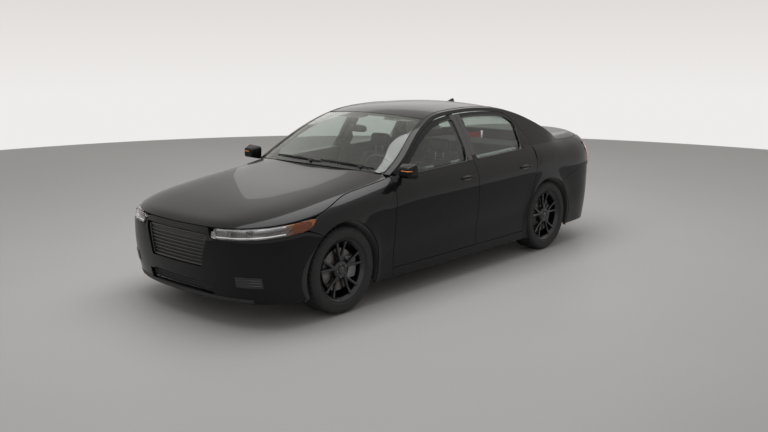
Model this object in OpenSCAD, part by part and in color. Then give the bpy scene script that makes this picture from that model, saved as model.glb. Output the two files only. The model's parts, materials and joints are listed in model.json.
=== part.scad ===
// Four-door sedan car. Millimetres, +Z up, nose towards -Y, the car's left side towards +X.
// The origin is on the ground, under the middle of the car.

/* [Overall] */
// Distance between the front and rear axle centres
wheelbase = 2850; // [2350:10:3450]
// Nose to front axle
front_overhang = 880; // [730:10:1060]
// Rear axle to tail
rear_overhang = 1130; // [940:10:1360]
// Widest point of the body, without mirrors
body_w = 1850; // [1540:10:2220]
// Height of the roof above the ground
roof_h = 1465; // [1360:5:1560]
// Height of the sill's lower edge
sill_h = 175; // [145:5:210]

/* [Wheels] */
// Rolling radius of the tyre
tyre_r = 338; // [300:2:345]
// Section width of the tyre
tyre_w = 240; // [200:5:260]
// Radius of the rim at its flange
rim_r = 238; // [200:2:250]
// Distance between the left and right tyre centres
track = 1590; // [1320:10:1900]
// Gap between the tyre and the wheel arch
arch_gap = 40; // [34:1:60]
// Radius of the brake disc
disc_r = 165; // [130:1:175]
// Number of spokes in a wheel
spokes = 10; // [5:1:14]

/* [Doors] */
// Length of the front door at the belt
front_door_l = 1070; // [890:10:1290]
// Height of the door's lower edge
door_bottom = 255; // [235:5:300]
// Thickness of a door below the belt
door_t = 105; // [80:5:110]
// Thickness of a window frame
frame_t = 36; // [26:2:42]
// Width of the window frame
frame_w = 40; // [30:2:50]
// Thickness of side glass
glass_t = 5; // [4:0.5:6]

/* [Panels] */
// Gap round a panel that moves
shut = 5; // [4:0.5:7]
// Gap between two panels that are fixed
seam = 0.8; // [0.5:0.1:1]
// Depth of an outer panel with its inner skin
panel_t = 22; // [16:1:26]
// Depth of the hood and boot lid
lid_t = 34; // [26:1:38]
// Depth of the roof with its lining
roof_t = 34; // [24:1:45]
// Depth of the bumper covers
bumper_t = 28; // [20:1:34]

/* [Hidden] */
$fn = 48;

// ---- Places along the car
half_w = body_w / 2;
body_l = front_overhang + wheelbase + rear_overhang;
y_nose = -body_l / 2;
y_tail = body_l / 2;
y_front_axle = y_nose + front_overhang;
y_rear_axle = y_front_axle + wheelbase;
plan_front = y_front_axle + 200;        // where the nose starts to narrow in plan
plan_rear = y_rear_axle + 100;          // where the tail starts to narrow in plan
arch_r = tyre_r + arch_gap;
arch_z = tyre_r + 6;
y_cowl = y_front_axle + 535;            // foot of the windscreen on the centre line
y_a = y_front_axle + 560;               // front edge of the front door, low down
y_a_belt = y_a + 90;                    // front edge of the front door at the belt
y_b = y_a_belt + front_door_l - 60;     // split between the doors, low down
b_lean = 0.06;                          // rearward lean of that split
y_c_low = y_rear_axle - arch_r - 60;    // rear edge of the rear door, low down
y_c = y_rear_axle - 190;                // rear edge of the rear door at the belt
y_deck = y_rear_axle + 345;             // end of the rear pillar on the deck

// ---- Heights
belt_front = roof_h - 499;
belt_rear = roof_h - 421;
waist_front = 560;
waist_mid = 650;
waist_rear = 705;
rail_drop = 40;                         // how far the roof rail lies under the roof's crown
z_seam_front = 655;                     // seam between the front bumper and the fender
z_seam_rear = 690;                      // seam between the rear bumper and the side panel

// ---- Small functions
function clamp(v, lo, hi) = min(max(v, lo), hi);
function mix(a, b, t) = a + (b - a) * t;
function ease(t) = let (c = clamp(t, 0, 1)) c * c * (3 - 2 * c);
function steps(a, b, n) = [for (k = [0:n]) mix(a, b, k / n)];
function span(p, x, i = 0) = (i >= len(p) - 2 || x < p[i + 1][0]) ? i : span(p, x, i + 1);
function lean(p, i) =
    let (a = max(i - 1, 0), b = min(i + 1, len(p) - 1)) (p[b][1] - p[a][1]) / (p[b][0] - p[a][0]);
// Value at x on the smooth curve through the [x, value] pairs in p
function curve(p, x) =
    let (
        i = span(p, x), h = p[i + 1][0] - p[i][0], t = clamp((x - p[i][0]) / h, 0, 1),
        m0 = lean(p, i) * h, m1 = lean(p, i + 1) * h
    )
    p[i][1] * (2 * t * t * t - 3 * t * t + 1) + m0 * (t * t * t - 2 * t * t + t)
    + p[i + 1][1] * (3 * t * t - 2 * t * t * t) + m1 * (t * t * t - t * t);

// ---- The lower body: half its width at each place and height
section_x = 6;                          // how square the shoulder is across the car
section_z = 3;                          // how square it is upwards
plan_y = 6;                             // how square the nose is lengthways
plan_x = 2.4;                           // how square it is across
sill_tuck = 20;                         // how far the sill lies inside the widest point
nose_r = 110;                           // how far back the nose rounds into the hood
tail_r = 60;

waist_line = [[y_nose, waist_front], [y_front_axle, waist_mid], [0, waist_mid + 10],
              [y_rear_axle, waist_rear], [y_tail, waist_rear + 15]];
z_hood_front = roof_h - 725;
z_cowl = roof_h - 465;
z_deck = roof_h - 370;
top_line = [[y_nose, z_hood_front], [y_nose + 180, z_hood_front + 52],
            [y_nose + 400, z_hood_front + 104], [y_front_axle - 130, z_cowl - 98],
            [y_front_axle + 220, z_cowl - 48], [y_cowl, z_cowl], [y_cowl + 330, z_cowl + 62],
            [0, z_cowl + 98], [y_c - 200, z_cowl + 128], [y_c + 350, z_deck + 34],
            [y_deck + 70, z_deck + 4], [y_tail - 330, z_deck - 2], [y_tail - 90, z_deck + 2],
            [y_tail, z_deck - 10]];
function waist(y) = curve(waist_line, y);
function rounded(t) = t >= 1 ? 1 : t <= 0 ? 0 : pow(1 - pow(1 - t, 2.5), 0.4);
function crown(y) =
    waist(y) + (curve(top_line, y) - waist(y)) * rounded((y - y_nose) / nose_r)
    * rounded((y_tail - y) / tail_r);
function reach_front(z) = plan_front - y_nose - (z < waist_front ? 60 * pow((waist_front - z) / 380, 2) : 0);
function reach_rear(z) = y_tail - plan_rear - (z < waist_rear ? 55 * pow((waist_rear - z) / 450, 2) : 0);
function plan(y, z) =
    y < plan_front ? pow(1 - pow(clamp((plan_front - y) / reach_front(z), 0, 1), plan_y), 1 / plan_x)
    : y > plan_rear ? pow(1 - pow(clamp((y - plan_rear) / reach_rear(z), 0, 1), plan_y), 1 / plan_x)
    : 1;
// Pressed lines along the sides, and the flare round each arch
function crease_z(y) = waist_mid + 222 + 0.022 * y;
function scoop_z(y) = sill_h + 232 + 0.055 * y;
function pressed(y, z) =
    let (on = ease((y - y_front_axle + 350) / 500) * ease((y_rear_axle + 650 - y) / 500))
    on * (7 * exp(-abs(z - crease_z(y)) / 50) - 13 * exp(-pow((z - scoop_z(y)) / 62, 2)));
function flare_at(y, z, axle) = 9 * exp(-max(norm([y - axle, z - arch_z]) - arch_r, 0) / 40);
function flare(y, z) = flare_at(y, z, y_front_axle) + flare_at(y, z, y_rear_axle);
function section(y, z) =
    let (w = waist(y), q = clamp((z - w) / max(crown(y) - w, 1), 0, 1))
    z > w ? half_w * pow(1 - pow(q, section_z), 1 / section_x)
    : half_w - sill_tuck * pow((w - z) / (w - sill_h), 2);
function fade(y, z) = let (w = waist(y)) 1 - ease(((z - w) / max(crown(y) - w, 1) - 0.5) / 0.3);
function side(y, z) = (section(y, z) + fade(y, z) * (pressed(y, z) + flare(y, z))) * plan(y, z);
// Height of the hood or deck at a place
function top_z(y, x) =
    let (w = waist(y), r = clamp(abs(x) / (half_w * plan(y, waist_mid)), 0, 1))
    w + (crown(y) - w) * pow(1 - pow(r, section_x), 1 / section_z);
// Point on the body at height z. s is the place along the car, and near the ends it turns
// round the corner: at s_nose and s_tail the point lies on the centre line.
ring_front = y_front_axle - 300;
ring_rear = y_rear_axle + 350;
per_degree = 9.5;
s_nose = ring_front - 90 * per_degree;
s_tail = ring_rear + 90 * per_degree;
function reach(c, dx, dy, z, lo = 0, hi = 1400, n = 20) =
    n == 0 ? lo : let (m = (lo + hi) / 2)
    side(clamp(c + dy * m, y_nose, y_tail), z) > dx * m && c + dy * m > y_nose && c + dy * m < y_tail ?
    reach(c, dx, dy, z, m, hi, n - 1) : reach(c, dx, dy, z, lo, m, n - 1);
function wrap(s, z) =
    s < ring_front ? let (a = (ring_front - s) / per_degree, r = reach(ring_front, cos(a), -sin(a), z))
        [r * cos(a), ring_front - r * sin(a), z]
    : s > ring_rear ? let (a = (s - ring_rear) / per_degree, r = reach(ring_rear, cos(a), sin(a), z))
        [r * cos(a), ring_rear + r * sin(a), z]
    : [side(s, z), s, z];
// s of the place over [x, y]
function s_of(x, y) =
    y < ring_front ? ring_front - atan2(ring_front - y, x) * per_degree
    : y > ring_rear ? ring_rear + atan2(y - ring_rear, x) * per_degree : y;

// ---- The cabin: sides above the belt, and the top between the rails
lean_in = 0.45;                         // how far the side leans in for each millimetre up
lean_curve = 0.0004;
belt_line = [[y_a_belt, belt_front], [y_a_belt + 600, belt_front + 24],
             [y_c - 400, belt_rear - 20], [y_c, belt_rear - 4], [y_deck, belt_rear + 12]];
function belt(y) = curve(belt_line, y);
function side_up(y, z) =
    let (b = belt(y), d = max(z - b, 0))
    z <= b ? side(y, z) : side(y, b) - lean_in * d - lean_curve * d * d;
z_rail_top = roof_h - rail_drop;
y_rail_front = y_a_belt - 12;
rail_line = [[y_rail_front, belt_front + 8], [y_rail_front + 200, belt_front + 130],
             [y_rail_front + 450, z_rail_top - 172], [y_rail_front + 655, z_rail_top - 76],
             [y_rail_front + 860, z_rail_top - 23], [y_b + 200, z_rail_top],
             [y_b + 520, z_rail_top - 5], [y_c - 230, z_rail_top - 33], [y_c - 20, z_rail_top - 86],
             [y_c + 210, z_rail_top - 180], [y_c + 400, z_rail_top - 278], [y_deck, belt_rear + 20]];
bow_line = [[y_rail_front, -112], [y_rail_front + 450, -96], [y_rail_front + 860, -30], [y_b + 200, 0],
            [y_c - 350, 20], [y_c, 75], [y_deck, 110]];
crown_line = [[y_rail_front, 26], [y_rail_front + 500, 34], [y_b + 100, rail_drop], [y_c, 38], [y_deck, 28]];
function rail_z(y) = curve(rail_line, y);
function rail_x(y) = side_up(y, rail_z(y));
function top_point(y, u) =
    [u * rail_x(y), y + curve(bow_line, y) * (1 - u * u), rail_z(y) + curve(crown_line, y) * (1 - u * u)];
// Upper edge of the doors
door_drop_y = y_c - 262;
door_drop = (rail_z(y_c) - 34 - belt(y_c)) / pow(y_c - door_drop_y, 2);
function door_top(y) = rail_z(y) - 34 - door_drop * pow(max(y - door_drop_y, 0), 2);
function y_split(z) = y_b + b_lean * (z - door_bottom);
function y_door_front(z) = mix(y_a, y_a_belt, pow(clamp((z - door_bottom) / (belt_front - door_bottom), 0, 1), 3));
function y_door_rear(z) =
    let (t = clamp((z - door_bottom - 120) / (belt_rear - door_bottom - 120), 0, 1))
    mix(y_c_low, y_c, 1 - pow(1 - t, 1.7));

// ---- Closed shells over a grid of points
function grid(us, vs, f) = [for (u = us) [for (v = vs) f(u, v)]];
module shell(outer, inner, keep = function (i, j) true) {
    n = len(outer) - 1;
    m = len(outer[0]) - 1;
    half = (n + 1) * (m + 1);
    a = outer[floor(n / 2)][floor(m / 2)];
    facing = cross(outer[floor(n / 2) + 1][floor(m / 2)] - a, outer[floor(n / 2)][floor(m / 2) + 1] - a)
        * (a - inner[floor(n / 2)][floor(m / 2)]);
    on = function (i, j) i >= 0 && j >= 0 && i < n && j < m && keep(i, j);
    id = function (i, j) i * (m + 1) + j;
    quad = function (a, b, c, d) facing > 0 ? [[c, b, a], [d, c, a]] : [[a, b, c], [a, c, d]];
    wall = function (p, q) quad(p, half + p, half + q, q);
    faces = [for (i = [0:n - 1]) for (j = [0:m - 1]) if (on(i, j)) each concat(
        quad(id(i, j), id(i + 1, j), id(i + 1, j + 1), id(i, j + 1)),
        quad(half + id(i, j), half + id(i, j + 1), half + id(i + 1, j + 1), half + id(i + 1, j)),
        on(i - 1, j) ? [] : wall(id(i, j + 1), id(i, j)),
        on(i + 1, j) ? [] : wall(id(i + 1, j), id(i + 1, j + 1)),
        on(i, j - 1) ? [] : wall(id(i, j), id(i + 1, j)),
        on(i, j + 1) ? [] : wall(id(i + 1, j + 1), id(i, j + 1))
    )];
    polyhedron(points = concat([for (r = outer) each r], [for (r = inner) each r]), faces = faces, convexity = 8);
}
module both() {
    children();
    mirror([1, 0, 0]) children();
}

function inward(p, d) = [p.x - d, p.y, p.z];

// ---- Edges shared by neighbouring panels
// Edge of the hood, at each place along the side
function hood_share(y) = mix(0.6, 0.84, ease((y - y_front_axle + 330) / 500));
function hood_edge_z(y) = let (w = waist(y)) w + hood_share(y) * (crown(y) - w);
y_lamp_top = y_front_axle - 250;        // rear end of the headlamp's upper edge
y_lamp_low = y_front_axle - 335;        // rear end of its lower edge
s_lamp_in = s_nose + 350;               // its inner end
z_lamp_end = hood_edge_z(y_lamp_top);
hood_front_line = [[s_nose, z_hood_front - 14], [s_lamp_in, z_hood_front - 8],
                   [s_lamp_in + 200, z_hood_front + 2], [y_lamp_top, z_lamp_end]];
function hood_front_z(s) = curve(hood_front_line, s);
lamp_low_line = [[s_lamp_in, z_hood_front - 88], [s_lamp_in + 200, z_hood_front - 78],
                 [y_lamp_low, z_hood_front - 36]];
function lamp_low_z(s) = curve(lamp_low_line, s);
// Where the edge of a wheel arch lies at height z, before or behind the axle
function arch_y(axle, way, z) =
    axle + way * sqrt(max(pow(arch_r, 2) - pow(z - arch_z, 2), 0));
// Upper edge of the front bumper
z_seam_arch = z_seam_front - 10;
y_seam_arch = arch_y(y_front_axle, -1, z_seam_arch);
function bumper_top(s) =
    s < s_lamp_in - 30 ? hood_front_z(s) - shut
    : s < s_lamp_in ? mix(hood_front_z(s) - shut, lamp_low_z(s_lamp_in) - seam, (s - s_lamp_in + 30) / 30)
    : s < y_lamp_low ? lamp_low_z(s) - seam
    : mix(lamp_low_z(y_lamp_low) - seam, z_seam_arch, clamp((s - y_lamp_low) / (y_seam_arch - y_lamp_low), 0, 1));
// Edge of the boot lid in plan
lid_half = half_w * 0.83;
lid_corner = 610;
function lid_x(y) = mix(lid_half, lid_corner * body_w / 1850, pow(clamp((y - y_deck) / (y_tail - 120 - y_deck), 0, 1), 3));
// Front edge of the tail lamp, and its lower and upper edges
s_tail_lamp = s_of(half_w * 0.96, y_tail - 320);
z_tail_lamp = z_deck - 108;
z_tail_low = z_seam_rear + 75;
s_lid = s_of(lid_x(y_tail - 120), y_tail - 120);
function lamp_top_z(s) = z_tail_lamp + 18 * (s - s_tail_lamp) / (s_lid - s_tail_lamp);
function rear_bumper_top(s) =
    mix(z_seam_rear - 40, z_tail_low, ease((s - y_rear_axle - 200) / (s_tail_lamp - 60 - y_rear_axle - 200)));

// ---- Giving a grid of points a depth
function unit(v) = v / max(norm(v), 1e-9);
function across(g, i, j) =
    let (n = len(g) - 1, m = len(g[0]) - 1)
    unit(cross(g[min(i + 1, n)][j] - g[max(i - 1, 0)][j], g[i][min(j + 1, m)] - g[i][max(j - 1, 0)]));
// Every point moved by d along the surface's own direction, and border points pulled in by inset
function sunk(g, d, inset = 0) =
    let (n = len(g) - 1, m = len(g[0]) - 1)
    [for (i = [0:n]) [for (j = [0:m])
        g[i][j] + d * across(g, i, j)
        + (i == 0 ? inset * unit(g[1][j] - g[0][j]) : i == n ? inset * unit(g[n - 1][j] - g[n][j]) : [0, 0, 0])
        + (j == 0 ? inset * unit(g[i][1] - g[i][0]) : j == m ? inset * unit(g[i][m - 1] - g[i][m]) : [0, 0, 0])]];

// ---- Front fender, from the headlamp to the door, round the arch
function fender_low(t) =
    t < 0.15 ? let (k = t / 0.15) [mix(y_lamp_low + seam, y_seam_arch, k),
        mix(lamp_low_z(y_lamp_low), z_seam_arch + seam, k)]
    : let (a0 = 180 - asin((z_seam_arch - arch_z) / arch_r), a1 = asin((sill_h - arch_z) / arch_r),
        a = mix(a0, a1, (t - 0.15) / 0.85))
        [y_front_axle + arch_r * cos(a), arch_z + arch_r * sin(a)];
function row_z(k, y) = mix(door_bottom, belt(y), k / 9);   // the rows of points up a door
function fender_high(t) =
    t < 0.62 ? let (y = mix(y_lamp_top + seam, y_a_belt - shut - 12, t / 0.62)) [y, hood_edge_z(y)]
    : let (z = mix(belt(y_a_belt), sill_h, (t - 0.62) / 0.38)) [y_door_front(z) - shut, z];
module front_fender() {
    z0 = belt(y_a_belt);
    down = [for (k = [8:-1:0]) mix(0.62, 1, (z0 - row_z(k, y_a_belt)) / (z0 - sill_h))];
    g = grid(concat([0, 0.08], steps(0.15, 0.62, 9), down, [1]), steps(0, 1, 7), function (t, v)
        let (a = fender_low(t), b = fender_high(t)) wrap(mix(a[0], b[0], v), mix(a[1], b[1], v)));
    shell(g, sunk(g, -panel_t, 1.5));
}
module front_fenders() color("#24262b") both() front_fender();

// ---- Rear side panel, from the door round the arch to the boot lid
seam_quarter = seam + 1.4;              // gap over the rear bumper, where two curves meet
arch_rear_seam = asin((z_seam_rear - 40 + seam_quarter - arch_z) / arch_r);
function quarter_low(t) =
    t < 0.42 ? let (
            p = quarter_high(min(t, 0.25)), foot = 180 - asin((sill_h - arch_z) / arch_r),
            facing = atan2(p[1] - arch_z, p[0] - y_rear_axle), ray = facing < 0 ? facing + 360 : facing,
            a = t < 0.25 ? mix(foot, ray, clamp(t / 0.03, 0, 1)) : mix(ray, arch_rear_seam, (t - 0.25) / 0.17)
        ) [y_rear_axle + arch_r * cos(a), arch_z + arch_r * sin(a)]
    : t < 0.74 ? let (s = mix(y_rear_axle + arch_r * cos(arch_rear_seam), s_tail_lamp, (t - 0.42) / 0.32))
        [s, rear_bumper_top(s) + seam_quarter]
    : t < 0.8 ? [s_tail_lamp, mix(rear_bumper_top(s_tail_lamp) + seam_quarter, z_tail_lamp, (t - 0.74) / 0.06)]
    : let (s = mix(s_tail_lamp, s_lid - 4, (t - 0.8) / 0.2)) [s, lamp_top_z(s)];
function quarter_high(t) =
    t < 0.25 ? let (z = mix(sill_h, belt(y_c), t / 0.25)) [y_door_rear(z) + shut, z]
    : let (y = mix(y_c + shut, y_tail - 120, pow((t - 0.25) / 0.75, 0.85)))
        y < y_deck ? [y, belt(y)] : let (x = lid_x(y) + shut) [s_of(x, y), top_z(y, x)];
module rear_quarter() {
    up = [for (k = [0:8]) 0.25 * (row_z(k, y_c) - sill_h) / (belt(y_c) - sill_h)];
    g = grid(concat([0], up, [0.25, 0.29, 0.335, 0.38], steps(0.42, 0.74, 6), [0.77], steps(0.8, 1, 5)),
        steps(0, 1, 7), function (t, v)
        let (a = quarter_low(t), b = quarter_high(t)) wrap(mix(a[0], b[0], v), mix(a[1], b[1], v)));
    shell(g, sunk(g, -panel_t, 1.5));
}
module rear_quarters() color("#24262b") both() rear_quarter();

// ---- Roof rails with the windscreen and rear pillars
u_edge = 0.932;
function rail_low(y) = max(door_top(y), belt(y))
    + (y < y_c + shut ? shut + 2.5 * ease((y - y_c + 80) / 60) : seam);
module roof_rail() {
    ys = concat(steps(y_rail_front + 8, y_c, 38), steps(y_c + shut, y_deck, 9));
    rows = steps(0, 1, 3);
    g = [for (y = ys) concat([for (v = rows) let (z = mix(rail_low(y), rail_z(y), v)) [side_up(y, z), y, z]],
        [top_point(y, mix(1, u_edge, 0.5)), top_point(y, u_edge)])];
    inner = [for (i = [0:len(ys) - 1]) concat(
        [for (k = [0:3]) g[i][k] + [-58 + 3 * rows[k], 0, -7 - 25 * rows[k]]],
        [g[i][4] + [-28, 0, -33], g[i][5] + [0, 0, -34]])];
    shell(g, inner);
}
module roof_rails() color("#1d1f23") both() roof_rail();

// ---- Roof, windscreen and rear window
y_header = y_rail_front + 690;
y_rear_header = y_c - 140;
us_top = [for (k = [-6:6]) k / 6 * (u_edge - 0.003)];
module top_skin(y0, y1, n, d) {
    g = grid(steps(y0, y1, n), us_top, function (y, u) top_point(y, u));
    shell(g, sunk(g, d));
}
module roof_panel() color("#24262b") top_skin(y_header + seam / 2, y_rear_header - seam / 2, 12, roof_t);
module windscreen() color("#9fb0a8") top_skin(y_rail_front + 10, y_header - seam / 2, 10, 6);
module rear_window() color("#9fb0a8") top_skin(y_rear_header + seam / 2, y_deck - 4, 9, 5);

// ---- Hood and boot lid
y_hood_rear = y_a_belt - 40;
hood_bow = -98;
module hood() color("#24262b") {
    y_corner = y_lamp_top + 2;
    x_corner = wrap(s_of(side(y_corner, hood_front_z(y_corner)), y_corner), hood_front_z(y_corner)).x - shut;
    front = function (u) let (
        s = mix(s_nose, y_corner, pow(abs(u), 0.9)), p = wrap(s, hood_front_z(s))) [p.x - (shut + 1.5) * u * u, p.y];
    g = grid(concat([0, 0.03], steps(0.08, 1, 13)), [for (k = [-9:9]) k / 9], function (v, u)
        let (
            ye = mix(y_corner, y_hood_rear, v), xe = side(ye, hood_edge_z(ye)) - shut - 1.5, f = front(abs(u)),
            x = sign(u) * xe * mix(f[0] / front(1)[0], abs(u), v),
            y = ye + mix(f[1] - front(1)[1], hood_bow * (1 - u * u), v)
        ) [x, y, top_z(y, x)]);
    shell(g, sunk(g, lid_t, 12));
}
function lid_s(u) = s_tail - abs(u) * (s_tail - s_lid - 2);
z_lid_rear = top_z(y_tail - 120, lid_x(y_tail - 120));
module boot_lid() color("#24262b") {
    y_front = y_deck + 12;
    top = [for (v = steps(0, 0.93, 8)) [for (k = [-8:8])
        let (
            u = k / 8, p = wrap(lid_s(u), z_lid_rear), q = wrap(lid_s(1), z_lid_rear),
            ye = mix(y_front, q.y, v), x = sign(u) * lid_x(ye) * mix(abs(u), p.x / q.x, v),
            y = mix(y_front + 110 * (1 - u * u), p.y, v)
        ) [x, y, top_z(y, x)]]];
    back = [for (z = steps(z_lid_rear, z_tail_low + shut, 7)) [for (k = [-8:8])
        let (u = k / 8, p = wrap(lid_s(u), z)) [sign(u) * p.x, p.y, p.z]]];
    g = concat(top, back);
    shell(g, sunk(g, lid_t, 12));
}
module rear_deck() color("#24262b") {
    g = grid([0, 1], [for (k = [-6:6]) k / 6], function (v, u)
        let (x = u * (rail_x(y_deck) * u_edge - 2), y = y_deck - 2.6 + 110 * (1 - pow(u * u_edge, 2)) + v * 9)
        [x, y, top_z(y, x) - 3]);
    shell(g, sunk(g, 10));
}

// ---- Bracket for the rear number plate
z_plate = z_deck - 245;
module plate_bracket() color("#141517") difference() {
    translate([-160, y_tail + 0.5, z_plate - 75]) cube([320, 4, 150]);
    for (x = [-89, 89], z = [-60.5, 60.5]) translate([x, y_tail, z_plate + z]) rotate([-90, 0, 0])
        cylinder(r = 3.5, h = 6);
}

// ---- Bumpers
t_low = (y_seam_arch - y_lamp_low) / (y_seam_arch - s_nose);
t_in = (y_seam_arch - s_lamp_in) / (y_seam_arch - s_nose);
w_ramp = 1 - t_in - 0.032;
bumper_ws = concat([-1], steps(t_low - 1, t_in - 1, 8), [for (k = [0:5]) -w_ramp * (1 - k / 5)]);
bumper_vs = [0, 0.08, 0.17, 0.26, 0.36, 0.45, 0.58, 0.7, 0.82, 0.93, 1];
function sides(ws) = concat(ws, [for (k = [len(ws) - 2:-1:0]) -ws[k]]);
function front_skin(w, v) =
    let (
        t = 1 - abs(w), z = mix(sill_h + 15, bumper_top(mix(y_seam_arch, s_nose, t)), v),
        p = wrap(mix(arch_y(y_front_axle, -1, min(z, z_seam_arch)), s_nose, t), z)
    ) [w < 0 ? -p.x : w > 0 ? p.x : 0, p.y, p.z];
module front_bumper() color("#202227") {
    g = grid(sides(bumper_ws), bumper_vs, function (w, v) front_skin(w, v));
    shell(g, sunk(g, -bumper_t, 1.5), function (i, j)
        !(i >= 10 && i <= 19 && j >= 5 && j <= 8) && !(i >= 8 && i <= 21 && j >= 1 && j <= 2));
}
module grille() color("#121315") {
    g = grid(sides(bumper_ws), bumper_vs, function (w, v) front_skin(w, v));
    shell(sunk(g, -bumper_t - 0.6), sunk(g, -bumper_t - 18), function (i, j) i >= 7 && i <= 22 && j >= 1 && j <= 8);
}
function rear_skin(w, v) =
    let (
        t = 1 - abs(w), s1 = y_rear_axle + arch_r * cos(arch_rear_seam),
        z = mix(sill_h + 30, rear_bumper_top(mix(s1, s_tail, t)), v),
        p = wrap(mix(arch_y(y_rear_axle, 1, min(z, z_seam_rear - 40)), s_tail, t), z)
    ) [w < 0 ? -p.x : w > 0 ? p.x : 0, p.y, p.z];
module rear_bumper() color("#202227") {
    g = grid([for (k = [-13:13]) k / 13], steps(0, 1, 10), function (w, v) rear_skin(w, v));
    shell(g, sunk(g, bumper_t, 1.5));
}

// ---- Lamps
module headlamp() {
    g = grid(steps(0, 1, 8), steps(0, 1, 4), function (t, v)
        let (
            s0 = mix(s_lamp_in + 2, y_lamp_low - seam, t), s1 = mix(s_lamp_in + 2, y_lamp_top - seam - shut, t),
            s = mix(s0, s1, v), z = mix(lamp_low_z(s0) + seam, hood_front_z(s1) - shut, v)
        ) wrap(s, z));
    shell(g, sunk(g, -50, 14));
}
module headlamps() color("#c9cdd2") both() headlamp();
module tail_lamp() {
    g = grid(steps(s_tail_lamp + 3, s_lid - 5, 8), steps(0, 1, 4), function (s, v)
        wrap(s, mix(z_tail_low + seam, lamp_top_z(s) - seam, v)));
    shell(g, sunk(g, -45, 12));
}
module tail_lamps() color("#8a1a1c") both() tail_lamp();

// ---- Doors
taper = 0.5;                            // how far a door's edges slope in for each millimetre of depth
rows_low = steps(0, 1, 9);
rows_up = steps(0, 1, 5);
// t runs along the door and r up it: 0 to 1 below the belt, 1 to 2 in the window, 3 at the top
function door_point(t, r, y0, y1) =
    r <= 1 ? let (
            zb = belt(mix(y0(belt_front), y1(belt_rear), t)), z = mix(door_bottom, zb, r),
            y = mix(y0(z), y1(z), t)
        ) [side(y, z), y, z]
    : let (
            ye = mix(y0(belt_front), y1(belt_rear), t), zt = door_top(ye), y = mix(y0(zt), y1(zt), t),
            zb = belt(ye), top = max(door_top(y), zb + 6), sash = max(top - frame_w, zb + 3),
            z = r > 2 ? top : mix(zb, sash, r - 1), yy = r > 2 ? y : mix(ye, y, r - 1)
        ) [side_up(yy, z), yy, z];
module door(ts, y0, y1, window) {
    rs = concat(rows_low, [for (k = [1:5]) 1 + rows_up[k]], [3]);
    n = len(ts) - 1;
    g = grid(ts, rs, function (t, r) door_point(t, r, y0, y1));
    inner = [for (i = [0:n]) [for (j = [0:len(rs) - 1])
        let (
            low = rs[j] <= 1, d = low ? door_t : frame_t,
            e = d * taper * (low ? 1 : 0.4) * (i == 0 ? 1 : i == n ? -1 : 0),
            up = j == 0 ? d * taper : j == len(rs) - 1 ? -12 : 0
        ) g[i][j] + [-d, e, up]]];
    shell(g, inner, function (i, j)
        j < 9 || (g[i][len(rs) - 1].z - g[i][9].z > 6.5 && !(window(i) && j < 14)));
}
front_ts = concat(steps(0, 0.94, 18), [1]);
rear_ts = concat([0, 0.065], steps(0.11, 0.89, 14), [0.95, 1]);
module front_door() door(front_ts, function (z) y_door_front(z), function (z) y_split(z) - shut / 2,
    function (i) i >= 4 && i < 18);
module rear_door() door(rear_ts, function (z) y_split(z) + shut / 2, function (z) y_door_rear(z),
    function (i) i >= 1 && i < 15);
module door_glass(ts, i0, i1, y0, y1) {
    g = grid([for (i = [i0:i1]) ts[i]], rows_up, function (t, r) door_point(t, 1 + r, y0, y1));
    n = len(g) - 1;
    cut = function (i, j, d) g[i][j] + [-d, i == 0 ? 0.6 : i == n ? -0.6 : 0, j == 0 ? 0.6 : j == 5 ? -0.8 : 0];
    shell([for (i = [0:n]) [for (j = [0:5]) cut(i, j, 14)]],
        [for (i = [0:n]) [for (j = [0:5]) cut(i, j, 14 + glass_t)]]);
}
module front_glass() door_glass(front_ts, 4, 18, function (z) y_door_front(z), function (z) y_split(z) - shut / 2);
module rear_glass() door_glass(rear_ts, 1, 15, function (z) y_split(z) + shut / 2, function (z) y_door_rear(z));
module front_door_left() color("#24262b") front_door();
module front_door_right() color("#24262b") mirror([1, 0, 0]) front_door();
module rear_door_left() color("#24262b") rear_door();
module rear_door_right() color("#24262b") mirror([1, 0, 0]) rear_door();
module front_door_glass_left() color("#9fb0a8") front_glass();
module front_door_glass_right() color("#9fb0a8") mirror([1, 0, 0]) front_glass();
module rear_door_glass_left() color("#9fb0a8") rear_glass();
module rear_door_glass_right() color("#9fb0a8") mirror([1, 0, 0]) rear_glass();

// ---- Sills and the posts between the doors
module sills() color("#1b1c1f") both() {
    g = grid(steps(y_a - shut + seam, y_c_low + shut - seam, 14), steps(sill_h, door_bottom - shut, 2),
        function (y, z) [side(y, z), y, z]);
    shell(g, [for (r = g) [for (p = r) inward(p, 115)]]);
}
module middle_post() {
    foot = door_bottom - shut + 0.5;
    row = function (z, d, half) [for (k = [-1:1]) let (y = y_split(z) + k * half) [side_up(y, z) - d, y, z]];
    zb = belt(y_b + 50);
    head = door_top(y_split(door_top(y_b))) + shut - seam;
    zs = concat(steps(foot, zb + 80, 6), steps(zb + 140, head, 5));
    up = function (z) ease((z - zb - 80) / 60);
    outer = [for (z = zs) let (k = up(z)) row(z - 7 * k, mix(58, 52, k), mix(20, 26, k))];
    inner = [for (z = zs) let (k = up(z)) row(z - 8 * k, mix(126, 90, k), mix(38, 32, k))];
    shell(outer, inner);
}
module door_pillars() color("#3a3c40") both() {
    middle_post();
    translate([half_w - 245, y_a - 100, z_floor + 0.4]) cube([85, 90, belt_front - 85 - z_floor]);
}

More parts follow.
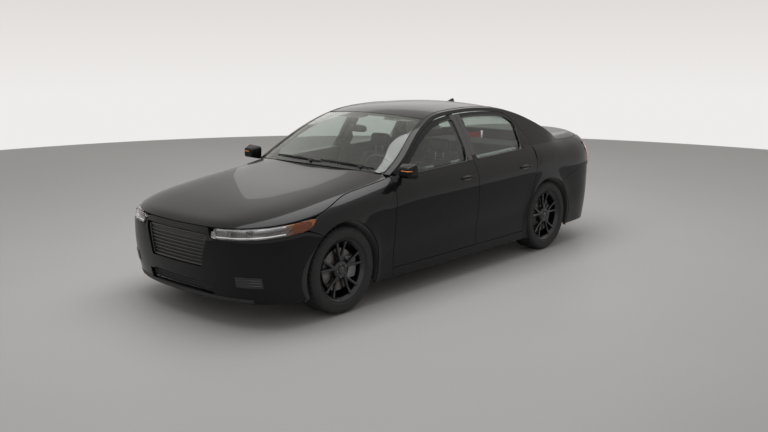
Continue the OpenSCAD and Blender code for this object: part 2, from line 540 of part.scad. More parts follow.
// ---- Underbody
z_floor = sill_h + 24;                  // top of the cabin floor
z_boot = sill_h + 255;                  // top of the boot floor
y_wall = y_a - 90;                      // wall between engine and cabin
y_step = y_rear_axle - 330;             // step up to the rear floor
z_tunnel = z_floor + 170;               // top of the tunnel
z_rail = z_floor + 110;                 // underside of the front frame rails
tunnel_half = 120;
floor_half = half_w - 134;
rail_in = track / 2 - 395;              // frame rails, inside the sweep of the steered wheels
wheel_in = track / 2 - tyre_w / 2;      // inner side of the tyres
rear_half = wheel_in - 50;              // half the width of what stands between the rear wheels
module box(x0, x1, y0, y1, z0, z1) translate([x0, y0, z0]) cube([x1 - x0, y1 - y0, z1 - z0]);
module floor_pan() color("#2b2d30") {
    z0 = z_floor - 8;
    difference() {
        union() {
            box(-floor_half, floor_half, y_wall - 10, y_step, z0, z_floor);
            box(-tunnel_half, tunnel_half, y_wall - 10, y_step, z0, z_tunnel);
            box(14 - wheel_in, wheel_in - 14, y_step - 10, y_step, z0, z_boot);
        }
        box(-tunnel_half + 10, tunnel_half - 10, y_wall - 20, y_step + 5, z0 - 5, z_tunnel - 10);
    }
    box(-rail_in - 220, rail_in + 220, y_step - 10, y_rear_axle + 700, z_boot + 0.3, z_boot + 8);
    both() {
        box(rail_in, rail_in + 80, y_nose + 170, y_wall - 0.5, z_rail, z_rail + 100);
        box(rail_in, rail_in + 80, y_step + 0.5, y_tail - 155, z_boot - 100, z_boot - 0.2);
        for (y = [y_a + 180, y_c_low - 120]) box(floor_half - 60, floor_half - 5, y - 40, y + 40, sill_h - 12, z0);
    }
    box(-rail_in - 80, rail_in + 80, y_nose + 130, y_nose + 169.5, z_rail, z_rail + 110);
    box(-rail_in - 80, rail_in + 80, y_tail - 154.5, y_tail - 115, z_boot - 100, z_boot + 20);
}
module bulkheads() color("#34363a") {
    difference() {
        box(-half_w + 250, half_w - 250, y_wall, y_wall + 20, z_floor + 0.4, belt_front - 50);
        box(-tunnel_half - 0.4, tunnel_half + 0.4, y_wall - 5, y_wall + 25, z_floor - 5, z_tunnel + 0.4);
    }
    box(-rear_half, rear_half, y_rear_axle - 60, y_rear_axle - 45, z_boot + 8.4, belt_rear - 60);
    box(-rear_half, rear_half, y_rear_axle - 60, y_deck + 20, belt_rear - 59.5, belt_rear - 47);
}
module wheel_liner(y, x_in) translate([x_in, y, arch_z]) rotate([0, 90, 0]) difference() {
    cylinder(r = arch_r - 3, h = half_w - 28.5 - x_in);
    translate([0, 0, -1]) cylinder(r = arch_r - 7, h = half_w);
    translate([90, -500, -2]) cube([500, 1000, half_w]);
}
module wheel_liners() color("#141517") both() {
    wheel_liner(y_front_axle, track / 2 - 295);
    wheel_liner(y_rear_axle, track / 2 - 165);
}

// ---- Running gear that stays put
z_sub = tyre_r - 175;                   // underside of the front subframe
rim_w = tyre_w - 30;
brake_x = rim_w / 2 - 85;               // inner face of the brake disc, outwards from the tyre's middle
king_x = track / 2 + brake_x - 30;      // steering axis
king_r = 14;
module front_subframe() color("#3c3e42") {
    half = rail_in + 75;
    difference() {
        union() {
            box(-half, half, y_front_axle - 230, y_front_axle + 260, z_sub, z_sub + 50);
            box(-king_x, king_x, y_front_axle - 24, y_front_axle + 24, z_sub, z_sub + 23);
            both() translate([king_x, y_front_axle, z_sub]) cylinder(r = 24, h = 23);
        }
        box(-half + 90, half - 90, y_front_axle - 160, y_front_axle + 190, z_sub - 5, z_sub + 55);
    }
    both() {
        translate([king_x, y_front_axle, z_sub + 22]) cylinder(r = king_r, h = 40);
        for (y = [y_front_axle - 195, y_front_axle + 225]) translate([rail_in + 40, y, z_sub + 50.4])
            cylinder(r = 28, h = z_rail - z_sub - 50.8);
        translate([track / 2 - 245, y_front_axle, z_sub + 23.4]) cylinder(r = 30, h = 440);
        translate([track / 2 - 245, y_front_axle, z_sub + 463.8])
            cylinder(r = 60, h = arch_z + sqrt(pow(arch_r - 7, 2) - 3600) - 1.2 - z_sub - 463.8);
    }
}
module engine_block() color("#4a4c50")
    box(100 - rail_in, rail_in - 100, y_front_axle - 240, y_front_axle + 300, z_sub + 50.5, z_cowl - 225);
module exhaust() color("#5b5d60") {
    z = z_floor + 45;
    translate([0, y_wall, z]) rotate([-90, 0, 0]) cylinder(r = 30, h = y_rear_axle + 470 - y_wall);
    box(-260, 260, y_rear_axle + 470, y_rear_axle + 690, sill_h + 5, z_boot + 0.1);
    both() translate([200, y_rear_axle + 680, sill_h]) rotate([-90, 0, 0]) cylinder(r = 24, h = 415);
}

// ---- Wheels, built about their own centre with +X outwards
module at_wheel(y, way) translate([way * track / 2, y, tyre_r]) mirror([way < 0 ? 1 : 0, 0, 0]) children();
module turned() rotate([0, 90, 0]) rotate_extrude($fn = 96) children();
spindle_r = 22;
spindle_gap = 0.05;                     // running clearance of a shaft in its bore
module rim() color("#8f9296") {
    w = rim_w / 2;
    turned() polygon([[rim_r - 26, -w + 12], [rim_r - 26, w - 26], [rim_r - 12, w - 10], [rim_r - 3, w],
        [rim_r, w], [rim_r, w - 6], [rim_r - 12, w - 18], [rim_r - 14, w - 34], [rim_r - 20, w - 50],
        [rim_r - 20, -w + 22], [rim_r - 12, -w + 8], [rim_r, -w + 6], [rim_r, -w], [rim_r - 8, -w]]);
    difference() {
        union() {
            for (k = [0:1:spokes - 1]) rotate([k * 360 / spokes, 0, 0])
                translate([w - 48, -15, 0]) cube([26, 30, rim_r - 26.4]);
            rotate([0, 90, 0]) translate([0, 0, brake_x]) cylinder(r = 72, h = w - 22 - brake_x);
            rotate([0, 90, 0]) translate([0, 0, brake_x]) cylinder(r = disc_r, h = 24);
        }
        rotate([0, 90, 0]) translate([0, 0, brake_x - 1]) cylinder(r = spindle_r + spindle_gap, h = 41);
    }
}
module tyre() color("#17181a") {
    w = tyre_w / 2;
    turned() polygon([[rim_r + 0.4, -w + 22], [rim_r + 0.4, w - 22], [rim_r + 16, w - 5],
        [mix(rim_r, tyre_r, 0.5), w], [tyre_r - 26, w - 6], [tyre_r - 8, w - 22], [tyre_r, w - 46],
        [tyre_r, -w + 46], [tyre_r - 8, -w + 22], [tyre_r - 26, -w + 6], [mix(rim_r, tyre_r, 0.5), -w],
        [rim_r + 16, -w + 5]]);
}
// Spindle, hub carrier, the leg down to the steering axis, and the brake caliper over the disc
module carrier(way) color("#55575b") {
    rotate([0, 90, 0]) cylinder(r = spindle_r, h = brake_x + 38);
    rotate([0, 90, 0]) translate([0, 0, -66]) cylinder(r = 55, h = brake_x + 60);
    translate([brake_x - 60, -32, z_sub + 23.4 - tyre_r]) difference() {
        cube([50, 64, 120]);
        if (way > 0) translate([30, 32, -5]) cylinder(r = king_r + spindle_gap, h = 50);
    }
    intersection() {
        rotate([0, 90, 0]) difference() {
            translate([0, 0, brake_x - 34]) cylinder(r = disc_r + 26, h = 82);
            translate([0, 0, brake_x - 6]) cylinder(r = disc_r + 6, h = 36);
            translate([0, 0, -60]) cylinder(r = disc_r - 58, h = 140);
        }
        translate([brake_x - 80, way > 0 ? 30 : -240, -85]) cube([112, 210, 170]);
    }
    translate([brake_x - 34, way > 0 ? 20 : -130, -30]) cube([28, 110, 60]);
}
module steering_knuckle_left() at_wheel(y_front_axle, 1) carrier(1);
module steering_knuckle_right() at_wheel(y_front_axle, -1) carrier(1);
module rear_axle() {
    at_wheel(y_rear_axle, 1) carrier(-1);
    at_wheel(y_rear_axle, -1) carrier(-1);
    color("#3c3e42") box(-track / 2 + 40.5, track / 2 - 40.5, y_rear_axle - 45, y_rear_axle + 45, z_boot - 155, z_boot - 100.5);
}
module front_rim_left() at_wheel(y_front_axle, 1) rim();
module front_rim_right() at_wheel(y_front_axle, -1) rim();
module rear_rim_left() at_wheel(y_rear_axle, 1) rim();
module rear_rim_right() at_wheel(y_rear_axle, -1) rim();
module front_tyre_left() at_wheel(y_front_axle, 1) tyre();
module front_tyre_right() at_wheel(y_front_axle, -1) tyre();
module rear_tyre_left() at_wheel(y_rear_axle, 1) tyre();
module rear_tyre_right() at_wheel(y_rear_axle, -1) tyre();

// ---- Cabin
seat_x = half_w - 555;
y_wheel = y_a_belt + 400;               // centre of the steering wheel
z_wheel = belt_front - 66;
column_tilt = 24;
module on_column() translate([seat_x, y_wheel, z_wheel]) rotate([column_tilt - 90, 0, 0]) children();
module profile(x0, x1, pts) translate([x0, 0, 0]) rotate([90, 0, 90]) linear_extrude(x1 - x0) polygon(pts);
module dashboard() color("#26272a") {
    z1 = belt_front - 30;
    difference() {
        profile(-half_w + 245.5, half_w - 245.5, [[y_wall + 20.5, z1 - 330], [y_wall + 20.5, z1 - 12], [y_wall + 160, z1],
            [y_wall + 330, z1 - 30], [y_wall + 400, z1 - 90], [y_wall + 370, z1 - 220], [y_wall + 260, z1 - 330]]);
        on_column() translate([0, 0, -290]) cylinder(r = 18 + spindle_gap, h = 200);
    }
    box(-105, 105, y_wall + 260, y_b + 250, z_floor + 170.5, z1 - 335);
    box(-90, 90, y_b - 150, y_b + 240, z1 - 334.7, z1 - 290);
}
module steering_wheel() color("#1c1d1f") on_column() {
    rotate_extrude() translate([180, 0]) circle(r = 14);
    translate([0, 0, -18]) cylinder(r = 56, h = 36);
    translate([0, 0, -270]) cylinder(r = 18, h = 260);
    for (a = [0, 180, 90]) rotate([0, 0, a]) translate([40, -16, -6]) cube([132, 32, 12]);
}
module seat(x0, x1, y0, depth, z1, rake) profile(x0, x1, [[y0 + 10, z_floor + 0.5], [y0 + 10, z1 - 130], [y0, z1 - 60],
    [y0 + 40, z1], [y0 + depth - 120, z1 - 25], [y0 + depth - 120 + rake, z1 + 540],
    [y0 + depth - 60 + rake, z1 + 560], [y0 + depth + rake, z1 + 520], [y0 + depth + 10, z1 - 60],
    [y0 + depth - 60, z_floor + 0.5]]);
module front_seats() color("#2e3034") both() {
    seat(seat_x - 245, seat_x + 250, y_wheel + 80, 600, z_floor + 250, 150);
    profile(seat_x - 130, seat_x + 135, [[y_wheel + 725, z_floor + 810.4], [y_wheel + 735, z_floor + 960],
        [y_wheel + 790, z_floor + 975], [y_wheel + 820, z_floor + 940], [y_wheel + 790, z_floor + 810.4]]);
}
module rear_seat() color("#2e3034") {
    y0 = y_step - 330;
    z1 = z_floor + 270;
    profile(2 - rear_half, rear_half - 2, [[y0 + 10, z_tunnel + 0.5], [y0 + 10, z1 - 50], [y0 + 50, z1], [y0 + 420, z1 - 30],
        [y0 + 510, z1 + 470], [y0 + 590, z1 + 470], [y0 + 589, z_boot + 8.5], [y0 + 315, z_boot + 8.5],
        [y0 + 315, z_tunnel + 0.5]]);
}

// ---- Cowl under the windscreen's foot, and the door mirrors
module cowl_panel() color("#18191b") {
    g = grid([0, 0.5, 1], [for (k = [-6:6]) k / 6], function (v, u)
        let (
            x0 = u * (side(y_hood_rear, hood_edge_z(y_hood_rear)) - 12),
            y0 = y_hood_rear + shut + hood_bow * (1 - u * u), p = top_point(y_rail_front + 10, u * 0.93),
            x = mix(x0, p.x, v), y = mix(y0, p.y - 3, v)
        ) [x, y, mix(top_z(y0, x0) - 14, p.z - 7, v)]);
    shell(g, sunk(g, 10, 1.5));
}
module door_mirror() {
    y = y_a_belt + 60;
    z = belt_front + 48;
    x = side(y_a_belt + 95, belt_front - 2) + 62;
    hull() {
        for (a = [0, 120], b = [-36, 36]) translate([x + a + (b > 0 ? -4 : 0), y, z + b + a * 0.06]) sphere(r = 24, $fn = 20);
        for (a = [25, 100], b = [-24, 24]) translate([x + a, y - 62, z + b]) sphere(r = 20, $fn = 20);
    }
    box(x - 57.8, x + 24, y + 5, y + 45, z - 53.5, z - 38);
}
module door_mirror_left() color("#1d1f23") door_mirror();
module door_mirror_right() color("#1d1f23") mirror([1, 0, 0]) door_mirror();

floor_pan();
sills();
door_pillars();
rear_quarters();
roof_rails();
front_fenders();
roof_panel();
windscreen();
rear_window();
front_bumper();
rear_bumper();
grille();
cowl_panel();
rear_deck();
headlamps();
tail_lamps();
bulkheads();
wheel_liners();
front_subframe();
engine_block();
rear_axle();
exhaust();
dashboard();
front_seats();
rear_seat();
hood();
boot_lid();
front_door_left();
front_door_right();
rear_door_left();
rear_door_right();
front_door_glass_left();
front_door_glass_right();
rear_door_glass_left();
rear_door_glass_right();
door_mirror_left();
door_mirror_right();
steering_knuckle_left();
steering_knuckle_right();
steering_wheel();
front_rim_left();
front_rim_right();
rear_rim_left();
rear_rim_right();
front_tyre_left();
front_tyre_right();
rear_tyre_left();
rear_tyre_right();
plate_bracket();
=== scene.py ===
"""A black four-door sedan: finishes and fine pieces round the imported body."""
import json
import math
import bpy
import bmesh
from mathutils import Vector, Matrix
from mathutils.bvhtree import BVHTree

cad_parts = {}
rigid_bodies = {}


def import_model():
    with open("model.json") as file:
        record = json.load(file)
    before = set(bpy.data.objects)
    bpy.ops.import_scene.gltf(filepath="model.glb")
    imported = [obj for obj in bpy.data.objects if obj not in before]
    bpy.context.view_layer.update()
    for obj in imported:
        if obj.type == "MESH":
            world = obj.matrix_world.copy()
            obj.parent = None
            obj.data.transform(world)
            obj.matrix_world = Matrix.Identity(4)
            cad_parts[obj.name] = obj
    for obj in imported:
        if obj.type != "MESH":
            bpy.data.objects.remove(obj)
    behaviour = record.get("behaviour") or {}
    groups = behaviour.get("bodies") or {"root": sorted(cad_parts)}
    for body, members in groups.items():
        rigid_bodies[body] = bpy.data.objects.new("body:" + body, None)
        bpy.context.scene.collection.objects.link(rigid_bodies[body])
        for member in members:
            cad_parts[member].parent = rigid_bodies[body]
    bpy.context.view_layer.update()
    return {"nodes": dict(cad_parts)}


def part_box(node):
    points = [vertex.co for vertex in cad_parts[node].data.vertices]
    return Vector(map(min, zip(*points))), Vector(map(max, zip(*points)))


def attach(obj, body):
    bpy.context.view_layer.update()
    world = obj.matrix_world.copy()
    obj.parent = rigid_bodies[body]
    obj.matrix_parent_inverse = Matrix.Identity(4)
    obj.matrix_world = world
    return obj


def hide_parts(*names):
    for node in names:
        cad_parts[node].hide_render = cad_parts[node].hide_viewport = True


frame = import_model()
nodes = frame["nodes"]
SIDES = (("left", 1.0), ("right", -1.0))

bpy.context.scene.view_settings.view_transform = "Standard"


# ---- Selecting and shaping, as by hand
def only(o):
    bpy.ops.object.select_all(action="DESELECT")
    o.select_set(True)
    bpy.context.view_layer.objects.active = o
    return o


def edit(o):
    only(o)
    bpy.ops.object.mode_set(mode="EDIT")
    bpy.ops.mesh.select_mode(type="FACE")
    return bmesh.from_edit_mesh(o.data)


def leave():
    bpy.ops.object.mode_set(mode="OBJECT")


def pick_faces(o, test):
    """In edit mode, the faces that pass the test are selected and nothing else."""
    bpy.ops.mesh.select_mode(type="FACE")
    bpy.ops.mesh.select_all(action="DESELECT")
    mesh = bmesh.from_edit_mesh(o.data)
    for f in mesh.faces:
        if test(f):
            f.select_set(True)
    bmesh.update_edit_mesh(o.data)


def cut_away(o, test):
    """Deletes the faces that pass the test."""
    edit(o)
    pick_faces(o, test)
    bpy.ops.mesh.delete(type="FACE")
    leave()
    return o


def press_in(o, test, thickness, depth=0.0, **more):
    """Insets the faces that pass the test and moves them in or out."""
    edit(o)
    pick_faces(o, test)
    bpy.ops.mesh.inset(thickness=thickness, depth=depth, **more)
    leave()
    return o


def divided(o, cuts):
    edit(o)
    bpy.ops.mesh.select_all(action="SELECT")
    bpy.ops.mesh.subdivide(number_cuts=cuts)
    leave()
    return o


def added(o):
    """A new object takes its place in the scene."""
    bpy.context.scene.collection.objects.link(o)
    return o


def settle(o):
    """The object's place goes into its mesh."""
    only(o)
    bpy.ops.object.transform_apply(location=True, rotation=True, scale=True)
    return o


def modify(o, kind, **settings):
    only(o)
    m = o.modifiers.new(kind.title(), kind)
    for key, value in settings.items():
        setattr(m, key, value)
    bpy.ops.object.modifier_apply(modifier=m.name)
    return o


def bevel_sharp(o, width, segments=2, angle=38, profile=0.7):
    edit(o)
    bpy.ops.mesh.select_mode(type="EDGE")
    bpy.ops.mesh.select_all(action="DESELECT")
    bpy.ops.mesh.edges_select_sharp(sharpness=math.radians(angle))
    bpy.ops.mesh.bevel(offset=width, segments=segments, profile=profile, affect="EDGES", clamp_overlap=True)
    leave()
    return o


def smooth(o, levels=0, angle=32):
    if levels:
        modify(o, "SUBSURF", levels=levels, render_levels=levels)
    only(o)
    bpy.ops.object.shade_smooth_by_angle(angle=math.radians(angle))
    return o


def outward(o):
    edit(o)
    bpy.ops.mesh.select_all(action="SELECT")
    bpy.ops.mesh.remove_doubles(threshold=0.00005)
    bpy.ops.mesh.normals_make_consistent(inside=False)
    leave()
    return o


def block(name, low, high):
    """A box between two corners, to be shaped further."""
    low, high = Vector(low), Vector(high)
    bpy.ops.object.select_all(action="DESELECT")
    bpy.ops.mesh.primitive_cube_add(size=1, location=(low + high) / 2, scale=high - low)
    o = bpy.context.object
    o.name = name
    return settle(o)


def drum(name, radius, depth, centre, axis=(0, 0, 1), sides=32):
    """A cylinder along an axis, to be shaped further."""
    bpy.ops.object.select_all(action="DESELECT")
    turn = Vector(axis).to_track_quat("Z", "Y").to_euler()
    bpy.ops.mesh.primitive_cylinder_add(vertices=sides, radius=radius, depth=depth, location=centre,
        rotation=turn)
    o = bpy.context.object
    o.name = name
    return settle(o)


def rod(name, points, radius, closed=False, sides=2, flat=None):
    """A round or flattened bar along points."""
    data = bpy.data.curves.new(name, "CURVE")
    data.dimensions = "3D"
    data.bevel_depth = radius
    data.bevel_resolution = sides
    data.use_fill_caps = not closed
    line = data.splines.new("POLY")
    line.points.add(len(points) - 1)
    for p, q in zip(line.points, points):
        p.co = (*q, 1)
    line.use_cyclic_u = closed
    only(added(bpy.data.objects.new(name, data)))
    bpy.ops.object.convert(target="MESH")
    o = bpy.context.object
    if flat:
        for v in o.data.vertices:
            base = min(points, key=lambda q: (v.co - Vector(q)).length_squared)
            d = v.co - Vector(base)
            v.co = Vector(base) + Vector((d.x * flat[0], d.y * flat[1], d.z * flat[2]))
    return outward(o)


def joined(name, pieces):
    bpy.ops.object.select_all(action="DESELECT")
    for p in pieces:
        p.select_set(True)
    bpy.context.view_layer.objects.active = pieces[0]
    if len(pieces) > 1:
        bpy.ops.object.join()
    o = bpy.context.object
    o.name = name
    return o


def copied(o, name):
    """A copy with its own mesh."""
    return added(bpy.data.objects.new(name, o.data.copy()))


def mirrored(o, name):
    c = copied(o, name)
    c.data.transform(Matrix.Scale(-1, 4, (1, 0, 0)))
    return outward(c)


def for_side(o, name, sign):
    """A copy for the left side, or a mirrored one for the right."""
    return copied(o, name) if sign > 0 else mirrored(o, name)


def turned(o, name, angle, axis):
    c = copied(o, name)
    c.data.transform(Matrix.Rotation(angle, 4, axis))
    return c


def dress(o, body, slot, *finishes):
    """Gives a piece its finishes and the body it moves with; the slot argument is not used."""
    o.data.materials.clear()
    for f in finishes:
        o.data.materials.append(f)
    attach(o, body)
    return o


def twin(node, name):
    """A copy of a CAD node with its points merged and its faces made four-sided."""
    o = copied(nodes[node], name)
    edit(o)
    bpy.ops.mesh.select_all(action="SELECT")
    bpy.ops.mesh.remove_doubles(threshold=0.0001)
    bpy.ops.mesh.tris_convert_to_quads(
        face_threshold=math.radians(60), shape_threshold=math.radians(120), topology_influence=1.5)
    leave()
    return o


def tree(*names):
    """A ray target made of CAD nodes."""
    points, faces = [], []
    for n in names:
        mesh = nodes[n].data
        start = len(points)
        points += [v.co.copy() for v in mesh.vertices]
        faces += [tuple(start + i for i in p.vertices) for p in mesh.polygons]
    return BVHTree.FromPolygons(points, faces)


def hit(target, origin, direction):
    place, normal, _, _ = target.ray_cast(Vector(origin), Vector(direction))
    return place, normal


# ---- Finishes
def finish(name, base, rough=0.5, metal=0.0, coat=0.0, vary=0.06, scale=40.0, bump=0.0, bump_scale=None,
           kind="noise", rough_vary=0.06, sheen=0.0, coat_rough=0.03, stretch=(1, 1, 1), **sockets):
    m = bpy.data.materials.new(name)
    m.use_nodes = True
    t = m.node_tree
    n = t.nodes["Principled BSDF"]
    n.inputs["Roughness"].default_value = rough
    n.inputs["Metallic"].default_value = metal
    n.inputs["Coat Weight"].default_value = coat
    n.inputs["Coat Roughness"].default_value = coat_rough
    n.inputs["Sheen Weight"].default_value = sheen
    for key, value in sockets.items():
        n.inputs[key.replace("_", " ")].default_value = value
    place = t.nodes.new("ShaderNodeTexCoord")
    mapping = t.nodes.new("ShaderNodeMapping")
    mapping.inputs["Scale"].default_value = stretch
    t.links.new(place.outputs["Object"], mapping.inputs["Vector"])

    def pattern(size, which):
        if which == "cells":
            x = t.nodes.new("ShaderNodeTexVoronoi")
            x.inputs["Scale"].default_value = size
            out = x.outputs["Distance"]
        elif which == "weave":
            x = t.nodes.new("ShaderNodeTexWave")
            x.inputs["Scale"].default_value = size
            x.inputs["Distortion"].default_value = 0.4
            y = t.nodes.new("ShaderNodeTexWave")
            y.bands_direction = "Z"
            y.inputs["Scale"].default_value = size
            t.links.new(mapping.outputs[0], y.inputs["Vector"])
            mix = t.nodes.new("ShaderNodeMath")
            mix.operation = "MAXIMUM"
            t.links.new(x.outputs["Fac"], mix.inputs[0])
            t.links.new(y.outputs["Fac"], mix.inputs[1])
            t.links.new(mapping.outputs[0], x.inputs["Vector"])
            return mix.outputs[0]
        else:
            x = t.nodes.new("ShaderNodeTexNoise")
            x.inputs["Scale"].default_value = size
            x.inputs["Detail"].default_value = 4
            out = x.outputs["Fac"]
        t.links.new(mapping.outputs[0], x.inputs["Vector"])
        return out

    ramp = t.nodes.new("ShaderNodeValToRGB")
    ramp.color_ramp.elements[0].position = 0.3
    ramp.color_ramp.elements[1].position = 0.7
    ramp.color_ramp.elements[0].color = [max(0, c * (1 - vary)) for c in base[:3]] + [1]
    ramp.color_ramp.elements[1].color = [min(1, c * (1 + vary)) for c in base[:3]] + [1]
    t.links.new(pattern(scale, "noise"), ramp.inputs[0])
    t.links.new(ramp.outputs[0], n.inputs["Base Color"])
    if rough_vary:
        span = t.nodes.new("ShaderNodeMapRange")
        span.inputs["To Min"].default_value = max(0.0, rough - rough_vary)
        span.inputs["To Max"].default_value = min(1.0, rough + rough_vary)
        t.links.new(pattern(scale * 0.37, "noise"), span.inputs["Value"])
        t.links.new(span.outputs["Result"], n.inputs["Roughness"])
    if bump:
        b = t.nodes.new("ShaderNodeBump")
        b.inputs["Strength"].default_value = bump
        b.inputs["Distance"].default_value = 0.001
        t.links.new(pattern(bump_scale or scale * 4, kind), b.inputs["Height"])
        t.links.new(b.outputs[0], n.inputs["Normal"])
    return m


def glazing(name, tint, rough=0.0, lets=0.8):
    """Clear or tinted glass that lets the lamps through."""
    m = finish(name, tint, rough, vary=0.012, scale=6, rough_vary=0.0, Transmission_Weight=1.0, IOR=1.45)
    t = m.node_tree
    main = t.nodes["Principled BSDF"]
    clear = t.nodes.new("ShaderNodeBsdfTransparent")
    clear.inputs["Color"].default_value = [c * lets for c in tint[:3]] + [1]
    rays = t.nodes.new("ShaderNodeLightPath")
    mix = t.nodes.new("ShaderNodeMixShader")
    t.links.new(rays.outputs["Is Shadow Ray"], mix.inputs["Fac"])
    t.links.new(main.outputs[0], mix.inputs[1])
    t.links.new(clear.outputs[0], mix.inputs[2])
    t.links.new(mix.outputs[0], t.nodes["Material Output"].inputs["Surface"])
    return m


paint = finish("black_paint", (0.0045, 0.0048, 0.0056), 0.34, metal=0.2, coat=0.42, vary=0.35, scale=1400,
               rough_vary=0.04, bump=0.02, bump_scale=2200, coat_rough=0.02, Specular_IOR_Level=0.05)
inner_paint = finish("inner_paint", (0.016, 0.017, 0.019), 0.42, vary=0.15, scale=60, bump=0.05, bump_scale=700)
under = finish("underbody_coating", (0.035, 0.034, 0.033), 0.82, vary=0.3, scale=24, bump=0.35, bump_scale=420)
liner_felt = finish("liner_felt", (0.012, 0.012, 0.012), 0.95, vary=0.3, scale=90, bump=0.5, bump_scale=900,
    sheen=0.3)
trim = finish("black_plastic", (0.017, 0.017, 0.018), 0.48, vary=0.12, scale=80, bump=0.12, bump_scale=1500,
    kind="cells")
gloss_trim = finish("gloss_black_plastic", (0.008, 0.008, 0.009), 0.12, vary=0.1, scale=30, coat=0.6,
    rough_vary=0.03)
rubber = finish("seal_rubber", (0.014, 0.014, 0.014), 0.72, vary=0.2, scale=120, bump=0.15, bump_scale=900)
tyre_rubber = finish("tyre_rubber", (0.016, 0.016, 0.0165), 0.78, vary=0.25, scale=50, bump=0.25,
    bump_scale=700)
alloy = finish("wheel_alloy", (0.030, 0.031, 0.034), 0.30, metal=0.85, coat=0.5, vary=0.10, scale=60, bump=0.03,
               bump_scale=900)
bright = finish("bright_metal", (0.62, 0.62, 0.63), 0.16, metal=1.0, vary=0.05, scale=40, rough_vary=0.05)
steel = finish("brake_iron", (0.16, 0.155, 0.15), 0.36, metal=1.0, vary=0.2, scale=30, bump=0.12,
    bump_scale=300)
cast = finish("cast_aluminium", (0.22, 0.22, 0.225), 0.55, metal=0.7, vary=0.15, scale=50, bump=0.3,
    bump_scale=500)
exhaust_metal = finish("exhaust_steel", (0.34, 0.32, 0.30), 0.34, metal=1.0, vary=0.2, scale=18, bump=0.05)
leather = finish("seat_leather", (0.030, 0.029, 0.029), 0.46, vary=0.12, scale=30, bump=0.30, bump_scale=520,
                 kind="cells", sheen=0.1)
leather_mid = finish("seat_leather_inserts", (0.043, 0.042, 0.041), 0.52, vary=0.12, scale=30, bump=0.35,
                     bump_scale=430, kind="cells")
cabin = finish("cabin_plastic", (0.030, 0.030, 0.031), 0.58, vary=0.10, scale=60, bump=0.2, bump_scale=1100,
    kind="cells")
headlining = finish("headlining_fabric", (0.34, 0.33, 0.315), 0.92, vary=0.06, scale=140, bump=0.25,
    bump_scale=900,
                    kind="weave", sheen=0.2)
carpet = finish("carpet", (0.024, 0.024, 0.025), 0.96, vary=0.35, scale=260, bump=0.6, bump_scale=1300,
    sheen=0.3)
screen_glass = finish("screen_glass", (0.006, 0.007, 0.009), 0.08, coat=1.0, vary=0.05, rough_vary=0.02)
plate_white = finish("blank_plate", (0.70, 0.70, 0.69), 0.35, vary=0.03, scale=50, bump=0.05)
lamp_silver = finish("lamp_reflector", (0.80, 0.80, 0.80), 0.20, metal=0.95, vary=0.04, scale=90, bump=0.12,
                     bump_scale=260)
lamp_dark = finish("lamp_housing", (0.035, 0.035, 0.037), 0.30, metal=0.4, vary=0.1, scale=50)
lamp_light = finish("light_guide", (0.88, 0.88, 0.86), 0.25, vary=0.02, scale=60, coat=0.5)
amber = finish("amber_reflector", (0.85, 0.24, 0.015), 0.30, vary=0.08, scale=120, bump=0.3, bump_scale=260,
               kind="cells", coat=0.8)
red_inner = finish("red_reflector", (0.45, 0.012, 0.010), 0.28, vary=0.12, scale=120, bump=0.35, bump_scale=300,
                   kind="cells", coat=0.8)
window_glass = glazing("window_glass", (0.68, 0.745, 0.71))
door_glass = glazing("door_glass", (0.54, 0.59, 0.565))
lens_clear = glazing("lens_clear", (0.96, 0.97, 0.98), lets=0.95)
lens_amber = glazing("lens_amber", (0.98, 0.40, 0.04), lets=0.95)
lens_red = glazing("lens_red", (0.72, 0.030, 0.028))


# ---- Body panels: rounded edges and smooth curves
def panel(node, body, slot, outside, inside=None, inner=None, width=0.0022, levels=2, name=None):
    o = twin(node, name or node + "_skin")
    bevel_sharp(o, width)
    smooth(o, levels)
    dress(o, body, slot, outside, *([inside] if inside else []))
    if inside:
        for f in o.data.polygons:
            f.material_index = 1 if inner(f) else 0
    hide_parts(node)
    return o


def faces_in(f):
    return f.normal.x * f.center.x < -0.25 * abs(f.center.x)


def faces_down(f):
    return f.normal.z < -0.3


def faces_back(f):
    return f.normal.y > 0.3


fenders = panel("front_fenders", "body", "body_paint", paint, liner_felt, faces_in)
quarters = panel("rear_quarters", "body", "body_paint", paint, liner_felt, faces_in)
rails = panel("roof_rails", "body", "body_paint", paint, headlining,
    lambda f: faces_in(f) and f.normal.z < 0.1, levels=1)
roof = panel("roof_panel", "body", "body_paint", paint, headlining, faces_down)
hood = panel("hood", "hood", "body_paint", paint, inner_paint, faces_down)
lid = panel("boot_lid", "boot_lid", "body_paint", paint, trim, lambda f: f.normal.z < -0.3 or f.normal.y < -0.3)
front_bumper = panel("front_bumper", "body", "body_paint", paint, trim, faces_back)
rear_bumper = panel("rear_bumper", "body", "body_paint", paint, trim, lambda f: f.normal.y < -0.3)
sills = panel("sills", "body", "body_paint", paint, under, faces_down, levels=1)
cowl = panel("cowl_panel", "body", "black_trim", trim, levels=1)
deck = panel("rear_deck", "body", "body_paint", paint, levels=1)
for word, sign in SIDES:
    for end in ("front", "rear"):
        body = f"{end}_door_{word}"
        panel(body, body, "body_paint", paint, cabin, faces_in)
        panel(f"{end}_door_glass_{word}", body, "glass", door_glass, width=0.0006)
    housing = twin(f"door_mirror_{word}", f"door_mirror_{word}_housing")
    modify(housing, "REMESH", mode="VOXEL", voxel_size=0.004)
    modify(housing, "SMOOTH", factor=0.5, iterations=7)
    dress(smooth(housing, 1, 60), f"front_door_{word}", "body_paint", paint)
    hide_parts(f"door_mirror_{word}")
for n in ("windscreen", "rear_window"):
    panel(n, "body", "glass", window_glass, width=0.0008)

